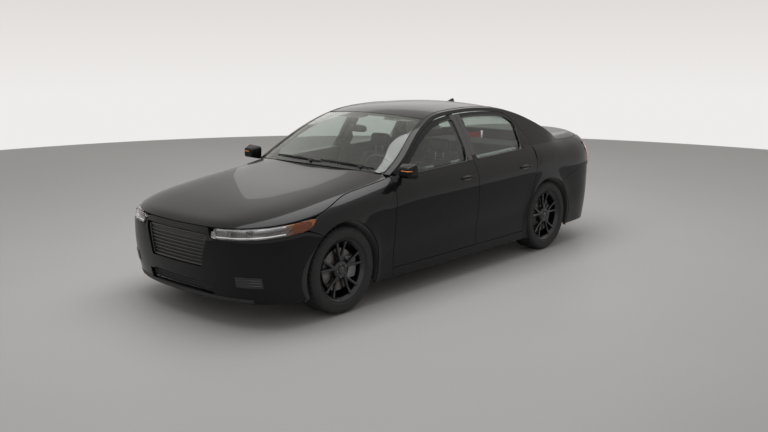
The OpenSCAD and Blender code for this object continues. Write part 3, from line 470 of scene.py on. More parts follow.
# ---- CAD nodes that keep their shape
for names, finish_of in (
    (("floor_pan", "bulkheads"), under), (("door_pillars",), cabin), (("wheel_liners",), liner_felt),
    (("front_subframe", "rear_axle"), under), (("exhaust",), exhaust_metal), (("engine_block",), cast),
    (("dashboard", "steering_wheel"), cabin), (("front_seats", "rear_seat"), leather), (("grille",), trim),
    (("headlamps",), lamp_light), (("tail_lamps",), red_inner), (("plate_bracket",), trim),
    (("steering_knuckle_left", "steering_knuckle_right"), steel),
    (("front_rim_left", "front_rim_right", "rear_rim_left", "rear_rim_right"), alloy),
    (("front_tyre_left", "front_tyre_right", "rear_tyre_left", "rear_tyre_right"), tyre_rubber),
):
    for n in names:
        nodes[n].data.materials.clear()
        nodes[n].data.materials.append(finish_of)

# ---- Where the outer surface lies
outer = tree("front_fenders", "rear_quarters", "front_door_left", "front_door_right", "rear_door_left",
             "rear_door_right", "front_bumper", "rear_bumper", "roof_rails", "hood", "boot_lid", "sills",
             "roof_panel", "windscreen", "rear_window", "cowl_panel", "tail_lamps", "headlamps", "rear_deck")
hub_low, hub_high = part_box("front_tyre_left")
rear_low, rear_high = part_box("rear_tyre_left")
wheel_r = (hub_high.z - hub_low.z) / 2
track_x = (hub_high.x + hub_low.x) / 2
front_hub = Vector((track_x, (hub_high.y + hub_low.y) / 2, wheel_r))
rear_hub = Vector((track_x, (rear_high.y + rear_low.y) / 2, wheel_r))


def side_at(y, z, out=0.0):
    place, normal = hit(outer, (2, y, z), (-1, 0, 0))
    return place + Vector((out, 0, 0))


def top_at(x, y, out=0.0):
    place, normal = hit(outer, (x, y, 3), (0, 0, -1))
    return place + Vector((0, 0, out))


def rear_at(x, z, out=0.0):
    place, normal = hit(outer, (x, 4, z), (0, -1, 0))
    return place + Vector((0, out, 0))


def lofted(name, outlines):
    """A solid drawn out from one outline to the next; every outline has as many points."""
    data = bpy.data.meshes.new(name)
    data.from_pydata([tuple(p) for p in outlines[0]], [], [tuple(range(len(outlines[0])))])
    o = added(bpy.data.objects.new(name, data))
    edit(o)
    bpy.ops.mesh.select_all(action="SELECT")
    for outline in outlines[1:]:
        bpy.ops.mesh.extrude_region_move()
        mesh = bmesh.from_edit_mesh(o.data)
        cap = next(f for f in mesh.faces if f.select)
        for v, p in zip(cap.verts, outline):
            v.co = Vector(p)
        bmesh.update_edit_mesh(o.data)
    bpy.ops.mesh.select_all(action="SELECT")
    bpy.ops.mesh.normals_make_consistent(inside=False)
    leave()
    return o


def spun(name, profile, steps=64):
    """A closed outline of (x, radius) points turned about the X axis."""
    data = bpy.data.meshes.new(name)
    n = len(profile)
    data.from_pydata([(x, 0, r) for x, r in profile], [(i, (i + 1) % n) for i in range(n)], [])
    o = added(bpy.data.objects.new(name, data))
    edit(o)
    bpy.ops.mesh.select_mode(type="VERT")
    bpy.ops.mesh.select_all(action="SELECT")
    bpy.ops.mesh.spin(steps=steps, angle=math.tau, center=(0, 0, 0), axis=(1, 0, 0))
    leave()
    return outward(o)


def moved(o, offset):
    o.data.transform(Matrix.Translation(Vector(offset)))
    return o


def ring(centre, across, up, a, b, n=12, power=2.0):
    """Points of a rounded outline about a centre."""
    centre, across, up = Vector(centre), Vector(across), Vector(up)
    points = []
    for k in range(n):
        t = math.tau * k / n
        c, s = math.cos(t), math.sin(t)
        points.append(centre + across * (a * math.copysign(abs(c) ** (2 / power), c))
                      + up * (b * math.copysign(abs(s) ** (2 / power), s)))
    return points


def edge_between(is_open, shut_at, open_at):
    """Where a test turns from shut to open, between two places."""
    for _ in range(12):
        middle = (shut_at + open_at) / 2
        shut_at, open_at = (shut_at, middle) if is_open(middle) else (middle, open_at)
    return open_at


def evened(points):
    """Points along a line, each drawn towards its neighbours."""
    points = [Vector(p) for p in points]
    for _ in range(3):
        points = [points[0]] + [(a + b * 2 + c) / 4 for a, b,
            c in zip(points, points[1:], points[2:])] + [points[-1]]
    return points


# ---- Wheels
def step_of(c, steps):
    """Which of the turned steps a place belongs to."""
    return round(math.atan2(c.z, c.y) / math.tau * steps - 0.5)


def tyre():
    low, high = wheel_r * 0.7053, wheel_r
    half = (hub_high.x - hub_low.x) / 2
    right = [(half - 0.021, low + 0.0006), (half - 0.011, low + 0.010), (half - 0.005, low + 0.020),
             (half - 0.0035, low + 0.024), (half - 0.0045, low + 0.027), (half, low + 0.050),
             (half - 0.001, low + 0.062),
             (half - 0.0045, high - 0.028), (half - 0.0035, high - 0.025), (half - 0.009, high - 0.019),
             (half - 0.020, high - 0.0075), (half - 0.032, high - 0.0035)]
    tread = []
    for groove in (0.053, 0.018, -0.018, -0.053):
        tread += [(groove + 0.0055, high - (0.0012 if abs(groove) > 0.03 else 0.0)),
            (groove + 0.0035, high - 0.0075),
                  (groove - 0.0035, high - 0.0075), (groove - 0.0055,
                  high - (0.0012 if abs(groove) > 0.03 else 0.0))]
    left = [(-x, r) for x, r in reversed(right)]
    steps = 90
    o = spun("tyre", right + tread + left, steps)

    def shoulder_block(f):
        c = f.calc_center_median()
        return (math.hypot(*c.yz) > high - 0.0105 and abs(f.normal.x) < 0.75 and 0.056 < abs(c.x) < half - 0.012
                and step_of(c, steps) % 2 == 0)

    def middle_block(f):
        c = f.calc_center_median()
        return abs(c.x) < 0.011 and math.hypot(*c.yz) > high - 0.002 and step_of(c, steps) % 3 == 0

    press_in(o, shoulder_block, 0.0035, -0.005)
    press_in(o, middle_block, 0.003, -0.004)
    return smooth(o, 0, 34)


def rim():
    r, w = wheel_r * 0.7041, 0.105
    outline = [(-w + 0.012, r - 0.026), (w - 0.026, r - 0.026), (w - 0.010, r - 0.012), (w - 0.0005, r - 0.003),
               (w, r - 0.0005), (w - 0.006, r), (w - 0.018, r - 0.012), (w - 0.034, r - 0.014),
               (w - 0.050, r - 0.020),
               (-w + 0.022, r - 0.020), (-w + 0.008, r - 0.012), (-w + 0.006, r), (-w, r - 0.0005),
               (-w, r - 0.008)]
    pieces = [smooth(spun("rim", outline, 90), 0, 40)]
    spoke_ends = ((0.052, 0.088, 0.021, 0.020), (0.080, 0.083, 0.017, 0.017), (0.130, 0.080, 0.0145, 0.0155),
                  (0.180, 0.086, 0.0145, 0.0150), (0.205, 0.093, 0.0175, 0.0160), (0.216, 0.094, 0.022, 0.0150))
    outlines = []
    for radius, face, half_width, depth in spoke_ends:
        swing = 0.30 * (radius - 0.052)
        outlines.append([
            (face - depth * 1.9, swing - half_width * 0.75, radius), (face - 0.004, swing - half_width, radius),
            (face, swing - half_width * 0.72, radius), (face, swing + half_width * 0.35, radius),
            (face - 0.004, swing + half_width * 0.62, radius),
            (face - depth * 1.9, swing + half_width * 0.5, radius)])
    spoke = smooth(lofted("spoke", outlines), 1, 40)
    for k in range(5):
        one = turned(spoke, "spoke", math.tau * k / 5, "X")
        other = copied(spoke, "spoke")
        other.data.transform(Matrix.Scale(-1, 4, (0, 1, 0)))
        outward(other)
        two = turned(other, "spoke", math.tau * k / 5, "X")
        bpy.data.objects.remove(other)
        pieces += [one, two]
    bpy.data.objects.remove(spoke)
    hub = spun("hub", [(0.028, 0.0235), (0.028, 0.070), (0.060, 0.074), (0.078, 0.070), (0.086, 0.060),
        (0.088, 0.040),
                       (0.085, 0.034), (0.080, 0.030), (0.080, 0.0235)], 60)
    pieces.append(smooth(hub, 0, 40))
    whole = joined("rim", pieces)
    cap = smooth(spun("cap", [(0.080, 0.001), (0.080, 0.029), (0.0865, 0.0285), (0.0895, 0.024),
        (0.0905, 0.012),
                              (0.0908, 0.001)], 48), 0, 40)
    bolts = []
    for k in range(5):
        a = math.tau * (k + 0.5) / 5
        seat = (0.0875, 0.048 * math.cos(a), 0.048 * math.sin(a))
        bolt = drum("bolt", 0.0085, 0.014, (0.0845, seat[1], seat[2]), (1, 0, 0), 6)
        press_in(bolt, lambda f: f.normal.x > 0.9, 0.0025, -0.002)
        bolts.append(bevel_sharp(bolt, 0.0008, 1))
    valve = drum("valve", 0.003, 0.030, (0.092, 0.0, -0.205), (1, 0, -0.3), 12)
    return whole, cap, joined("bolts", bolts + [bevel_sharp(valve, 0.0008, 1)])


def disc():
    outline = [(0.0203, 0.0235), (0.0203, 0.100), (0.0203, 0.164), (0.0285, 0.164), (0.0285, 0.108),
        (0.0355, 0.108),
               (0.0355, 0.164), (0.0437, 0.164), (0.0437, 0.100), (0.040, 0.098), (0.040, 0.078),
               (0.056, 0.074),
               (0.056, 0.0235)]
    steps = 72
    o = spun("disc", outline, steps)

    def slot_face(f):
        c = f.calc_center_median()
        return abs(f.normal.x) > 0.9 and 0.105 < math.hypot(*c.yz) < 0.15 and c.x > 0.04 and step_of(c,
            steps) % 6 == 0

    return smooth(press_in(o, slot_face, 0.0018, -0.0015, use_individual=True), 0, 35)


wheel_parts = (("tyre", "tyre", tyre_rubber), ("rim", "wheel_alloy", alloy),
    ("rim_cap", "wheel_alloy", gloss_trim),
               ("wheel_bolts", "wheel_alloy", steel), ("brake_disc", "wheel_alloy", steel))
shapes = [tyre(), *rim(), disc()]
for end, hub in (("front", front_hub), ("rear", rear_hub)):
    for word, sign in SIDES:
        for (part, slot_name, cover), shape in zip(wheel_parts, shapes):
            o = copied(shape, f"{end}_{part}_{word}")
            if sign < 0:
                o.data.transform(Matrix.Rotation(math.pi, 4, "Z"))
            moved(o, (hub.x * sign, hub.y, hub.z))
            dress(o, f"{end}_wheel_{word}", slot_name, cover)
            if part in ("tyre", "rim"):
                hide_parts(f"{end}_{part}_{word}")
for shape in shapes:
    bpy.data.objects.remove(shape)
for word, sign in SIDES:
    knuckle = twin(f"steering_knuckle_{word}", f"knuckle_{word}")
    bevel_sharp(knuckle, 0.003, 2)
    dress(smooth(knuckle, 0, 35), f"steering_knuckle_{word}", "underbody", cast)
    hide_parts(f"steering_knuckle_{word}")

# ---- Headlamps: a clear lens over a housing with a light guide, two projectors and an amber end
low_end, high_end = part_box("headlamps")


def shows(f):
    """True for a lamp's faces that lie on the car's outside."""
    c = f.calc_center_median() if hasattr(f, "calc_center_median") else f.center
    place, _ = hit(outer, c + f.normal * 0.3, -f.normal)
    return place is not None and (place - c).length < 0.004


def shell_of(o, thickness):
    modify(o, "SOLIDIFY", thickness=thickness, offset=-1.0, use_even_offset=True)
    return smooth(o, 1, 40)


def lamp_parts(node):
    """The left lamp's lens and bowl as shells, and the lens's outer surface by itself."""
    surface = cut_away(twin(node, "lamp"), lambda f: f.calc_center_median().x < 0)
    bowl = cut_away(copied(surface, "bowl"), shows)
    cut_away(surface, lambda f: not shows(f))
    return shell_of(copied(surface, "lens"), 0.003), shell_of(bowl, 0.002), surface


amber_from = low_end.y + (high_end.y - low_end.y) * 0.62
lens, housing, inner_lens = lamp_parts("headlamps")
for word, sign in SIDES:
    o = dress(for_side(lens, f"headlamp_lens_{word}", sign), "body", "headlamp_lens", lens_clear, lens_amber)
    for f in o.data.polygons:
        f.material_index = 1 if f.center.y > amber_from else 0
    if sign > 0:
        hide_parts("headlamps")
for word, sign in SIDES:
    dress(for_side(housing, f"headlamp_housing_{word}", sign), "body", "headlamp_lens", lamp_silver)
lens_tree = BVHTree.FromPolygons([v.co.copy() for v in inner_lens.data.vertices],
                                 [tuple(p.vertices) for p in inner_lens.data.polygons])
lens_xs = [v.co.x for v in inner_lens.data.vertices]
lens_zs = [v.co.z for v in inner_lens.data.vertices]


def behind_lens(x, share, depth):
    """A point that far behind the lens, at a place across it and a share of its height."""
    low, high = min(lens_zs), max(lens_zs)
    seen = [low + (high - low) * k / 60 for k in range(61)]
    seen = [z for z in seen if hit(lens_tree, (x, -4, z), (0, 1, 0))[0] is not None]
    z = seen[0] + (seen[-1] - seen[0]) * share if seen else (low + high) / 2
    place, _ = hit(lens_tree, (x, -4, z), (0, 1, 0))
    if place is None:
        place = Vector((x, low_end.y, z))
    return place + Vector((-0.25 * depth, depth, 0))


x_in, x_out = min(lens_xs), max(lens_xs)
projectors = []
for share in (0.30, 0.56):
    x = x_in + (x_out - x_in) * share
    place = behind_lens(x, 0.5, 0.016)
    size = 0.024
    barrel = drum("barrel", size, 0.022, place + Vector((0, 0.012, 0)), (0, 1, 0), 32)
    edit(barrel)
    pick_faces(barrel, lambda f: f.normal.y < -0.9)
    bpy.ops.mesh.inset(thickness=0.0035, depth=0)
    bpy.ops.mesh.extrude_region_move(TRANSFORM_OT_translate={"value": (0, 0.004, 0)})
    leave()
    bevel_sharp(barrel, 0.0008, 2)
    bpy.ops.object.select_all(action="DESELECT")
    bpy.ops.mesh.primitive_uv_sphere_add(segments=32, ring_count=16, radius=size - 0.004,
        location=place + Vector((0, 0.004, 0)))
    bead = bpy.context.object
    bead.scale = (1, 0.45, 1)
    settle(bead)
    projectors.append((smooth(barrel, 0, 40), smooth(bead, 0, 60)))


def lens_line(end_gap, share, depth):
    """A line along behind the lens, at a share of its height."""
    return evened(evened([behind_lens(x_in + 0.055 + (x_out - x_in - end_gap) * k / 24, share, depth)
                          for k in range(25)]))


guide = rod("guide", lens_line(0.10, 0.17, 0.012), 0.0045, sides=3)
brow = rod("brow", lens_line(0.12, 0.84, 0.014), 0.003, sides=3)
for word, sign in SIDES:
    for k, (barrel, bead) in enumerate(projectors):
        for what, shape, cover in (("barrel", barrel, lamp_dark), ("bead", bead, lens_clear)):
            dress(for_side(shape, f"headlamp_{what}_{k + 1}_{word}", sign), "body", "headlamp_lens", cover)
    for what, shape, cover in (("light_guide", guide, lamp_light), ("brow", brow, bright)):
        dress(smooth(for_side(shape, f"headlamp_{what}_{word}", sign), 0, 50), "body", "headlamp_lens", cover)
for shape in (lens, housing, inner_lens, guide, brow, *[s for p in projectors for s in p]):
    bpy.data.objects.remove(shape)

# ---- Tail lamps
lens, housing, inner_lens = lamp_parts("tail_lamps")
low_end, high_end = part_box("tail_lamps")
bands = []
for share in (0.25, 0.5, 0.75):
    points = []
    z = low_end.z + (high_end.z - low_end.z) * share
    for k in range(17):
        y = low_end.y + 0.02 + (high_end.y - 0.03 - low_end.y - 0.02) * k / 16
        place, _ = hit(outer, (2, y, z), (-1, 0, 0))
        if place is not None and place.x > 0.62:
            points.append(place + Vector((-0.016, -0.004, 0)))
    if len(points) > 3:
        bands.append(rod("band", points, 0.0042, sides=2))
band = joined("bands", bands)
for name, shape, cover in (("tail_lamp_lens", lens, lens_red), ("tail_lamp_housing", housing, red_inner),
                           ("tail_lamp_guides", band, lamp_light)):
    for word, sign in SIDES:
        o = dress(smooth(for_side(shape, f"{name}_{word}", sign), 0, 40), "body", "tail_lamp_lens", cover)
        if name == "tail_lamp_lens" and sign > 0:
            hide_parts("tail_lamps")
for shape in (lens, housing, inner_lens, band):
    bpy.data.objects.remove(shape)

# ---- Fitted parts
def fitted(name, at, across, up, thickness, bevel=0.0):
    """A thin curved part: a grid laid where at(u, v) says, u and v from 0 to 1, then given its thickness."""
    bpy.ops.object.select_all(action="DESELECT")
    bpy.ops.mesh.primitive_grid_add(x_subdivisions=across, y_subdivisions=up, size=1)
    o = bpy.context.object
    o.name = name
    for v in o.data.vertices:
        v.co = Vector(at(v.co.x + 0.5, v.co.y + 0.5))
    modify(o, "SOLIDIFY", thickness=thickness, offset=0.0)
    outward(o)
    return bevel_sharp(o, bevel, 2, 50) if bevel else o


def pad_of(name, outline, offset, bevel):
    """A plate with the given outline, drawn out by an offset, with rounded edges."""
    o = lofted(name, [outline, [Vector(p) + Vector(offset) for p in outline]])
    return bevel_sharp(o, bevel, 3, 50)


def both_sides(o, name, body, slot, *covers, angle=40):
    """The piece and its twin across the car; {} in the body's name stands for the side."""
    for word, sign in SIDES:
        dress(smooth(for_side(o, f"{name}_{word}", sign), 0, angle), body.format(word), slot, *covers)
    bpy.data.objects.remove(o)


def one(o, name, body, slot, *covers, angle=40):
    o.name = name
    return dress(smooth(o, 0, angle), body, slot, *covers)


# ---- Grille and intakes
mask = tree("front_bumper")
insert = tree("grille")
g_low, g_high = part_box("grille")


def covered(x, z):
    """True where the front bumper stands before the grille."""
    place, _ = hit(mask, (x, -4, z), (0, 1, 0))
    return place is not None and place.y < -1.9


def open_to(z):
    """How far out from the middle the bumper's opening goes at a height."""
    return [x for x in (0.6 * k / 240 for k in range(241)) if not covered(x, z)][-1]


def insert_y(x, z):
    place, _ = hit(insert, (x, -4, z), (0, 1, 0))
    return place.y if place is not None else g_low.y + 0.05


open_z = [z for z in (g_low.z + (g_high.z - g_low.z) * k / 240 for k in range(241)) if not covered(0.0, z)]
gaps = [(a, b) for a, b in zip(open_z, open_z[1:]) if b - a > 0.02]
upper_low, upper_high = gaps[0][1], open_z[-1]
lower_low, lower_high = open_z[0], gaps[0][0]


def level_bar(z, back, radius, margin, flat=(1, 1, 1), sides=2):
    x1 = open_to(z) - margin
    return rod("bar", [(x, insert_y(x, z) - back, z) for x in (x1 * (k / 12 - 1) for k in range(25))], radius,
               sides=sides, flat=flat)


bars = [level_bar(upper_low + (upper_high - upper_low) * (k + 0.5) / 9, 0.0075, 0.0062, 0.004, (1, 0.9, 0.62))
        for k in range(9)]
one(joined("bars", bars), "grille_bars", "body", "black_trim", gloss_trim, angle=60)
z_foot, z_head = upper_low + 0.005, upper_high - 0.006
x_foot = open_to(upper_low + 0.02) - 0.006
x_head = open_to((upper_low + upper_high) / 2) * 2 - x_foot - 0.012
loop = [(x_foot * (k / 10 - 1), z_foot) for k in range(21)]
loop += [(x_foot + (x_head - x_foot) * k / 10, z_foot + (z_head - z_foot) * k / 10) for k in range(1, 10)]
loop += [(x_head * (1 - k / 10), z_head) for k in range(21)]
loop += [(-x_head + (x_head - x_foot) * k / 10, z_head + (z_foot - z_head) * k / 10) for k in range(1, 10)]
surround = rod("edge", [(x, insert_y(x, z) - 0.0075, z) for x, z in loop], 0.0055, closed=True, sides=3)
one(surround, "grille_surround", "body", "black_trim", gloss_trim, angle=60)
mesh_bars = [level_bar(lower_low + (lower_high - lower_low) * (k + 0.5) / 4, 0.005, 0.0030, 0.003)
    for k in range(4)]
lower_mid = (lower_low + lower_high) / 2
post_reach = [x for x in (0.6 * k / 120 for k in range(121)) if not covered(x, lower_mid)][-1] - 0.01
for k in range(-11, 12):
    x = post_reach * k / 11
    mesh_bars.append(rod("post", [(x, insert_y(x, z) - 0.005, z)
        for z in (lower_low + 0.002, lower_mid, lower_high - 0.002)],
                         0.0024, sides=1))
one(joined("mesh", mesh_bars), "lower_intake_mesh", "body", "black_trim", trim, angle=60)


def nose_patch(x0, x1, z0, z1, out):
    """Places on the nose: u from x0 to x1, v from z0 to z1."""
    def at(u, v):
        x, z = x0 + (x1 - x0) * u, z0 + (z1 - z0) * v
        place, _ = hit(mask, (x, -4, z), (0, 1, 0))
        return place + Vector((0, -out, 0)) if place is not None else Vector((x, insert_y(x, z) - 0.003, z))
    return at


chin = fitted("chin", nose_patch(-0.70, 0.70, 0.197, 0.226, 0.0005), 56, 3, 0.005, 0.001)
one(chin, "bumper_chin_strip", "body", "black_trim", trim)
vent = fitted("vent", nose_patch(0.60, 0.775, 0.315, 0.395, 0.0006), 20, 8, 0.004, 0.001)
both_sides(vent, "bumper_side_vent", "body", "black_trim", trim)
slats = joined("slats", [
    rod("slat", [nose_patch(0.605, 0.770, z, z, 0.0025)(k / 12, 0) for k in range(13)], 0.0028, sides=2)
    for z in (0.335, 0.355, 0.375)])
both_sides(slats, "bumper_vent_slats", "body", "black_trim", gloss_trim)

# ---- Windows: surrounds, belt strips and gloss posts on the doors
for end in ("front", "rear"):
    door_tree = tree(f"{end}_door_left")
    low_g, high_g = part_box(f"{end}_door_glass_left")

    def is_open(y, z):
        place, _ = hit(door_tree, (2, y, z), (-1, 0, 0))
        return place is None or place.x < 0.5

    def skin_at(y, z):
        place, _ = hit(door_tree, (2, y, z), (-1, 0, 0))
        return place.x if place is not None and place.x > 0.5 else None

    columns = []
    for k in range(61):
        y = low_g.y + (high_g.y - low_g.y) * k / 60
        zs = [z for z in (low_g.z - 0.05 + (high_g.z - low_g.z + 0.1) * j / 90 for j in range(91))
            if is_open(y, z)]
        zs = [z for z in zs if z < high_g.z + 0.02]
        if len(zs) > 4:
            step = (high_g.z - low_g.z + 0.1) / 90
            columns.append((y, edge_between(lambda z: is_open(y, z), zs[0] - step, zs[0]),
                            edge_between(lambda z: is_open(y, z), zs[-1] + step, zs[-1])))
    below, above = [], []
    for y, z0, z1 in columns:
        x = skin_at(y, z0 - 0.008)
        if x:
            below.append((x - 0.0018, y, z0 - 0.006))
        x = skin_at(y, z1 + 0.009)
        if x:
            above.append((x - 0.0014, y, z1 + 0.006))
    strip = rod("strip", evened(below), 0.0058, sides=2)
    both_sides(strip, f"{end}_belt_strip", f"{end}_door_{{}}", "black_trim", gloss_trim, angle=60)
    strip = rod("strip", evened(above), 0.0045, sides=2)
    both_sides(strip, f"{end}_window_strip", f"{end}_door_{{}}", "black_trim", gloss_trim, angle=60)
    for word, sign in SIDES:
        skin = next(o for o in bpy.data.objects if o.name == f"{end}_door_{word}_skin")
        skin.data.materials.append(gloss_trim)
        post_from = columns[-1][0] if end == "front" else low_g.y - 0.2
        post_to = 9 if end == "front" else columns[0][0]
        for f in skin.data.polygons:
            if f.material_index == 0 and f.center.z > low_g.z + 0.03 and post_from < f.center.y < post_to:
                f.material_index = 2

# ---- Door handles
for end, y_mid in (("front", -0.005), ("rear", 0.895)):
    z_mid = 0.868
    half = 0.098
    bpy.ops.object.select_all(action="DESELECT")
    bpy.ops.mesh.primitive_cube_add(size=1, location=(0, 0, 0), scale=(0.010, half * 2, 0.023))
    grip = settle(bpy.context.object)
    modify(divided(grip, 1), "BEVEL", width=0.0035, segments=2, limit_method="ANGLE")
    for v in grip.data.vertices:
        share = v.co.y / half
        y, z = y_mid + v.co.y, z_mid + v.co.z * (1 - 0.25 * share * share)
        bow = 0.013 * (1 - share ** 4) + 0.001
        v.co = Vector((side_at(y_mid + v.co.y, z_mid).x + bow + v.co.x, y, z))
    smooth(grip, 1, 50)
    both_sides(grip, f"{end}_door_handle", f"{end}_door_{{}}", "body_paint", paint)
    dish = ring((0, y_mid - 0.01, z_mid - 0.001), (0, 1, 0), (0, 0, 1), 0.062, 0.019, 24, 2.6)
    dish = [Vector((side_at(p.y, p.z).x + 0.0002, p.y, p.z)) for p in dish]
    both_sides(pad_of("dish", dish, (0.0016, 0, 0), 0.0007), f"{end}_handle_dish", f"{end}_door_{{}}",
        "black_trim",
               gloss_trim)

# ---- Door mirrors
mirror_tree = tree("door_mirror_left")
m_low, m_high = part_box("door_mirror_left")
m_mid = Vector((m_low.x * 0.36 + m_high.x * 0.64, m_high.y, (m_low.z + m_high.z) / 2 + 0.006))
outline = ring(m_mid, (1, 0, 0.06), (0, 0, 1), 0.056, 0.042, 28, 3.0)
outline = [p + Vector((0, (hit(mirror_tree, (p.x, 1, p.z), (0, -1, 0))[0] or m_mid).y - p.y - 0.0035, 0))
    for p in outline]
both_sides(pad_of("glass", outline, (0, 0.005, 0), 0.0009), "mirror_glass", "front_door_{}", "glass", bright)
line = []
for k in range(13):
    x = m_high.x - 0.016 - 0.085 * k / 12
    place, _ = hit(mirror_tree, (x, -4, m_mid.z + 0.004), (0, 1, 0))
    if place is not None:
        line.append(place + Vector((0, -0.0006, 0)))
both_sides(rod("line", line, 0.0036, sides=2), "mirror_indicator", "front_door_{}", "headlamp_lens", amber,
    angle=60)

# ---- Wipers, aerial and roof strips
screen = tree("windscreen")
s_low, s_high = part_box("windscreen")


def screen_at(x, share, out):
    """A place on the windscreen, a share of the way up it."""
    on_screen = lambda y: hit(screen, (x, y, 3), (0, 0, -1))[0] is not None
    first = next(y for y in (s_low.y - 0.02 + 0.5 * k / 100 for k in range(101)) if on_screen(y))
    y = edge_between(on_screen, first - 0.005, first) + share
    place, normal = hit(screen, (x, y, 3), (0, 0, -1))
    return place + normal * out


for k, (pivot, tip, root) in enumerate(((0.50, 0.06, 0.62), (-0.04, -0.54, 0.07))):
    blade = []
    for j in range(21):
        x = root + (tip - root) * j / 20
        blade.append(screen_at(x, 0.040 + 0.018 * j / 20, 0.0065))
    o = rod("blade", blade, 0.0052, sides=2)
    rib = rod("rib", [p + Vector((0, -0.001, 0.0062)) for p in blade[3:18]], 0.0026, sides=2)
    one(joined("blade", [o, rib]), f"wiper_blade_{k + 1}", "body", "black_trim", rubber, angle=60)
    foot = screen_at(pivot, 0.033, 0.008)
    middle = blade[10] + Vector((0, 0.006, 0.0085))
    bend = []
    for share in (1 / 3, 2 / 3):
        p = foot.lerp(middle, share)
        place, normal = hit(screen, (p.x, p.y + 0.011, 3), (0, 0, -1))
        bend.append(place + normal * 0.009)
    arm = rod("arm", [foot + Vector((0, -0.001, -0.007)), foot + Vector((0, 0, 0.002)), *bend, middle,
                      blade[11] + Vector((0, 0.003, 0.0045))], 0.0046, sides=2)
    boss = bevel_sharp(drum("boss", 0.012, 0.012, foot + Vector((0, -0.002, -0.003)), (0, -0.25, 1), 24),
        0.003, 2)
    one(joined("arm", [arm, boss]), f"wiper_arm_{k + 1}", "body", "black_trim", trim, angle=50)

fin_rows = []
for share, half, y0, y1 in ((0.0, 0.026, 0.835, 0.965), (0.18, 0.021, 0.845, 0.963), (0.5, 0.010, 0.876, 0.957),
                            (0.85, 0.004, 0.912, 0.950), (1.0, 0.0022, 0.926, 0.946)):
    base = top_at(0, (y0 + y1) / 2).z - 0.002
    outline = ring((0, (y0 + y1) / 2, 0), (0, 1, 0), (1, 0, 0), (y1 - y0) / 2, half, 20, 1.7)
    rise = 0.031 * share
    fin_rows.append([Vector((p.x, p.y, (top_at(p.x, p.y).z - 0.002
        if share == 0 else top_at(0, 0.9).z) + rise)) for p in outline])
one(smooth(lofted("fin", fin_rows), 1), "roof_aerial_fin", "body", "body_paint", paint, angle=40)
roof_low, roof_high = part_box("roof_panel")
roof_tree = tree("roof_panel")
line = []
for k in range(31):
    y = roof_low.y + 0.02 + (roof_high.y - roof_low.y - 0.04) * k / 30
    xs = [x for x in (0.30 + 0.0025 * j for j in range(160)) if hit(roof_tree, (x, y, 3), (0, 0, -1))[0]]
    line.append(top_at(xs[-1] + 0.002, y, 0.0))
    line[-1].z = hit(roof_tree, (xs[-1], y, 3), (0, 0, -1))[0].z - 0.0016
both_sides(rod("strip", line, 0.0045, sides=2), "roof_strip", "body", "black_trim", rubber, angle=60)

# ---- Tail: plate, reflectors, lower trim, pipes, fuel flap
p_low, p_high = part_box("plate_bracket")
mid = (p_low + p_high) / 2
plate = ring((0, p_high.y - 0.0026, mid.z), (1, 0, 0), (0, 0, 1), 0.150, 0.066, 32, 9.0)
plate = pad_of("plate", plate, (0, 0.0024, 0), 0.0006)
one(plate, "blank_number_plate", "boot_lid", "black_trim", plate_white)
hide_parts("plate_bracket")
studs = joined("studs", [drum("stud", 0.005, 0.0026, (x, p_high.y - 0.0014, mid.z + z), (0, 1, 0), 16)
                         for x in (-0.09, 0.09) for z in (-0.052, 0.052)])
one(bevel_sharp(studs, 0.0005, 1), "plate_studs", "boot_lid", "black_trim", steel)
holder = [rod("rim", [Vector((x, p_high.y - 0.0022, z)) for x, z in (
    (p_low.x + 0.003, p_low.z + 0.003), (p_high.x - 0.003, p_low.z + 0.003),
    (p_high.x - 0.003, p_high.z - 0.003),
    (p_low.x + 0.003, p_high.z - 0.003))], 0.0022, closed=True)]
one(joined("holder", holder), "plate_surround", "boot_lid", "black_trim", trim)


def tail_patch(x0, x1, z0, z1, out):
    def at(u, v):
        x, z = x0 + (x1 - x0) * u, z0 + (z1 - z0) * v
        return rear_at(x, z, out)
    return at


lower = fitted("lower", tail_patch(-0.66, 0.66, 0.215, 0.325, 0.0005), 60, 8, 0.004, 0.001)
one(lower, "rear_lower_trim", "body", "black_trim", trim)
fins = joined("fins", [rod("fin", [tail_patch(x, x, 0.22, 0.315, 0.001)(0, k / 6) for k in range(7)], 0.0045,
    sides=2)
                       for x in (-0.42, -0.21, 0.0, 0.21, 0.42)])
one(fins, "rear_lower_ribs", "body", "black_trim", trim, angle=60)
red_strip = fitted("strip", tail_patch(0.56, 0.70, 0.365, 0.385, 0.0008), 16, 3, 0.004, 0.0012)
both_sides(red_strip, "rear_bumper_reflector", "body", "tail_lamp_lens", red_inner)
tip = spun("tip", [(0.0, 0.0245), (0.0, 0.0270), (0.006, 0.0288), (0.085, 0.0290), (0.0905, 0.0280),
    (0.0905, 0.0262),
                   (0.082, 0.0250), (0.010, 0.0245)], 40)
tip.data.transform(Matrix.Translation((0.20, 2.305, 0.175)) @ Matrix.Rotation(math.pi / 2, 4, "Z"))
both_sides(outward(tip), "exhaust_tip", "body", "exhaust_steel", bright)
flap = ring((0, 1.36, 0.86), (0, 1, 0), (0, 0, 1), 0.080, 0.072, 32, 4.0)
flap = [Vector((side_at(p.y, p.z).x - 0.0012, p.y, p.z)) for p in flap]
o = rod("flap", flap, 0.0018, closed=True, sides=1)
o.data.transform(Matrix.Scale(-1, 4, (1, 0, 0)))
one(outward(o), "fuel_flap_seam", "body", "black_trim", rubber, angle=60)


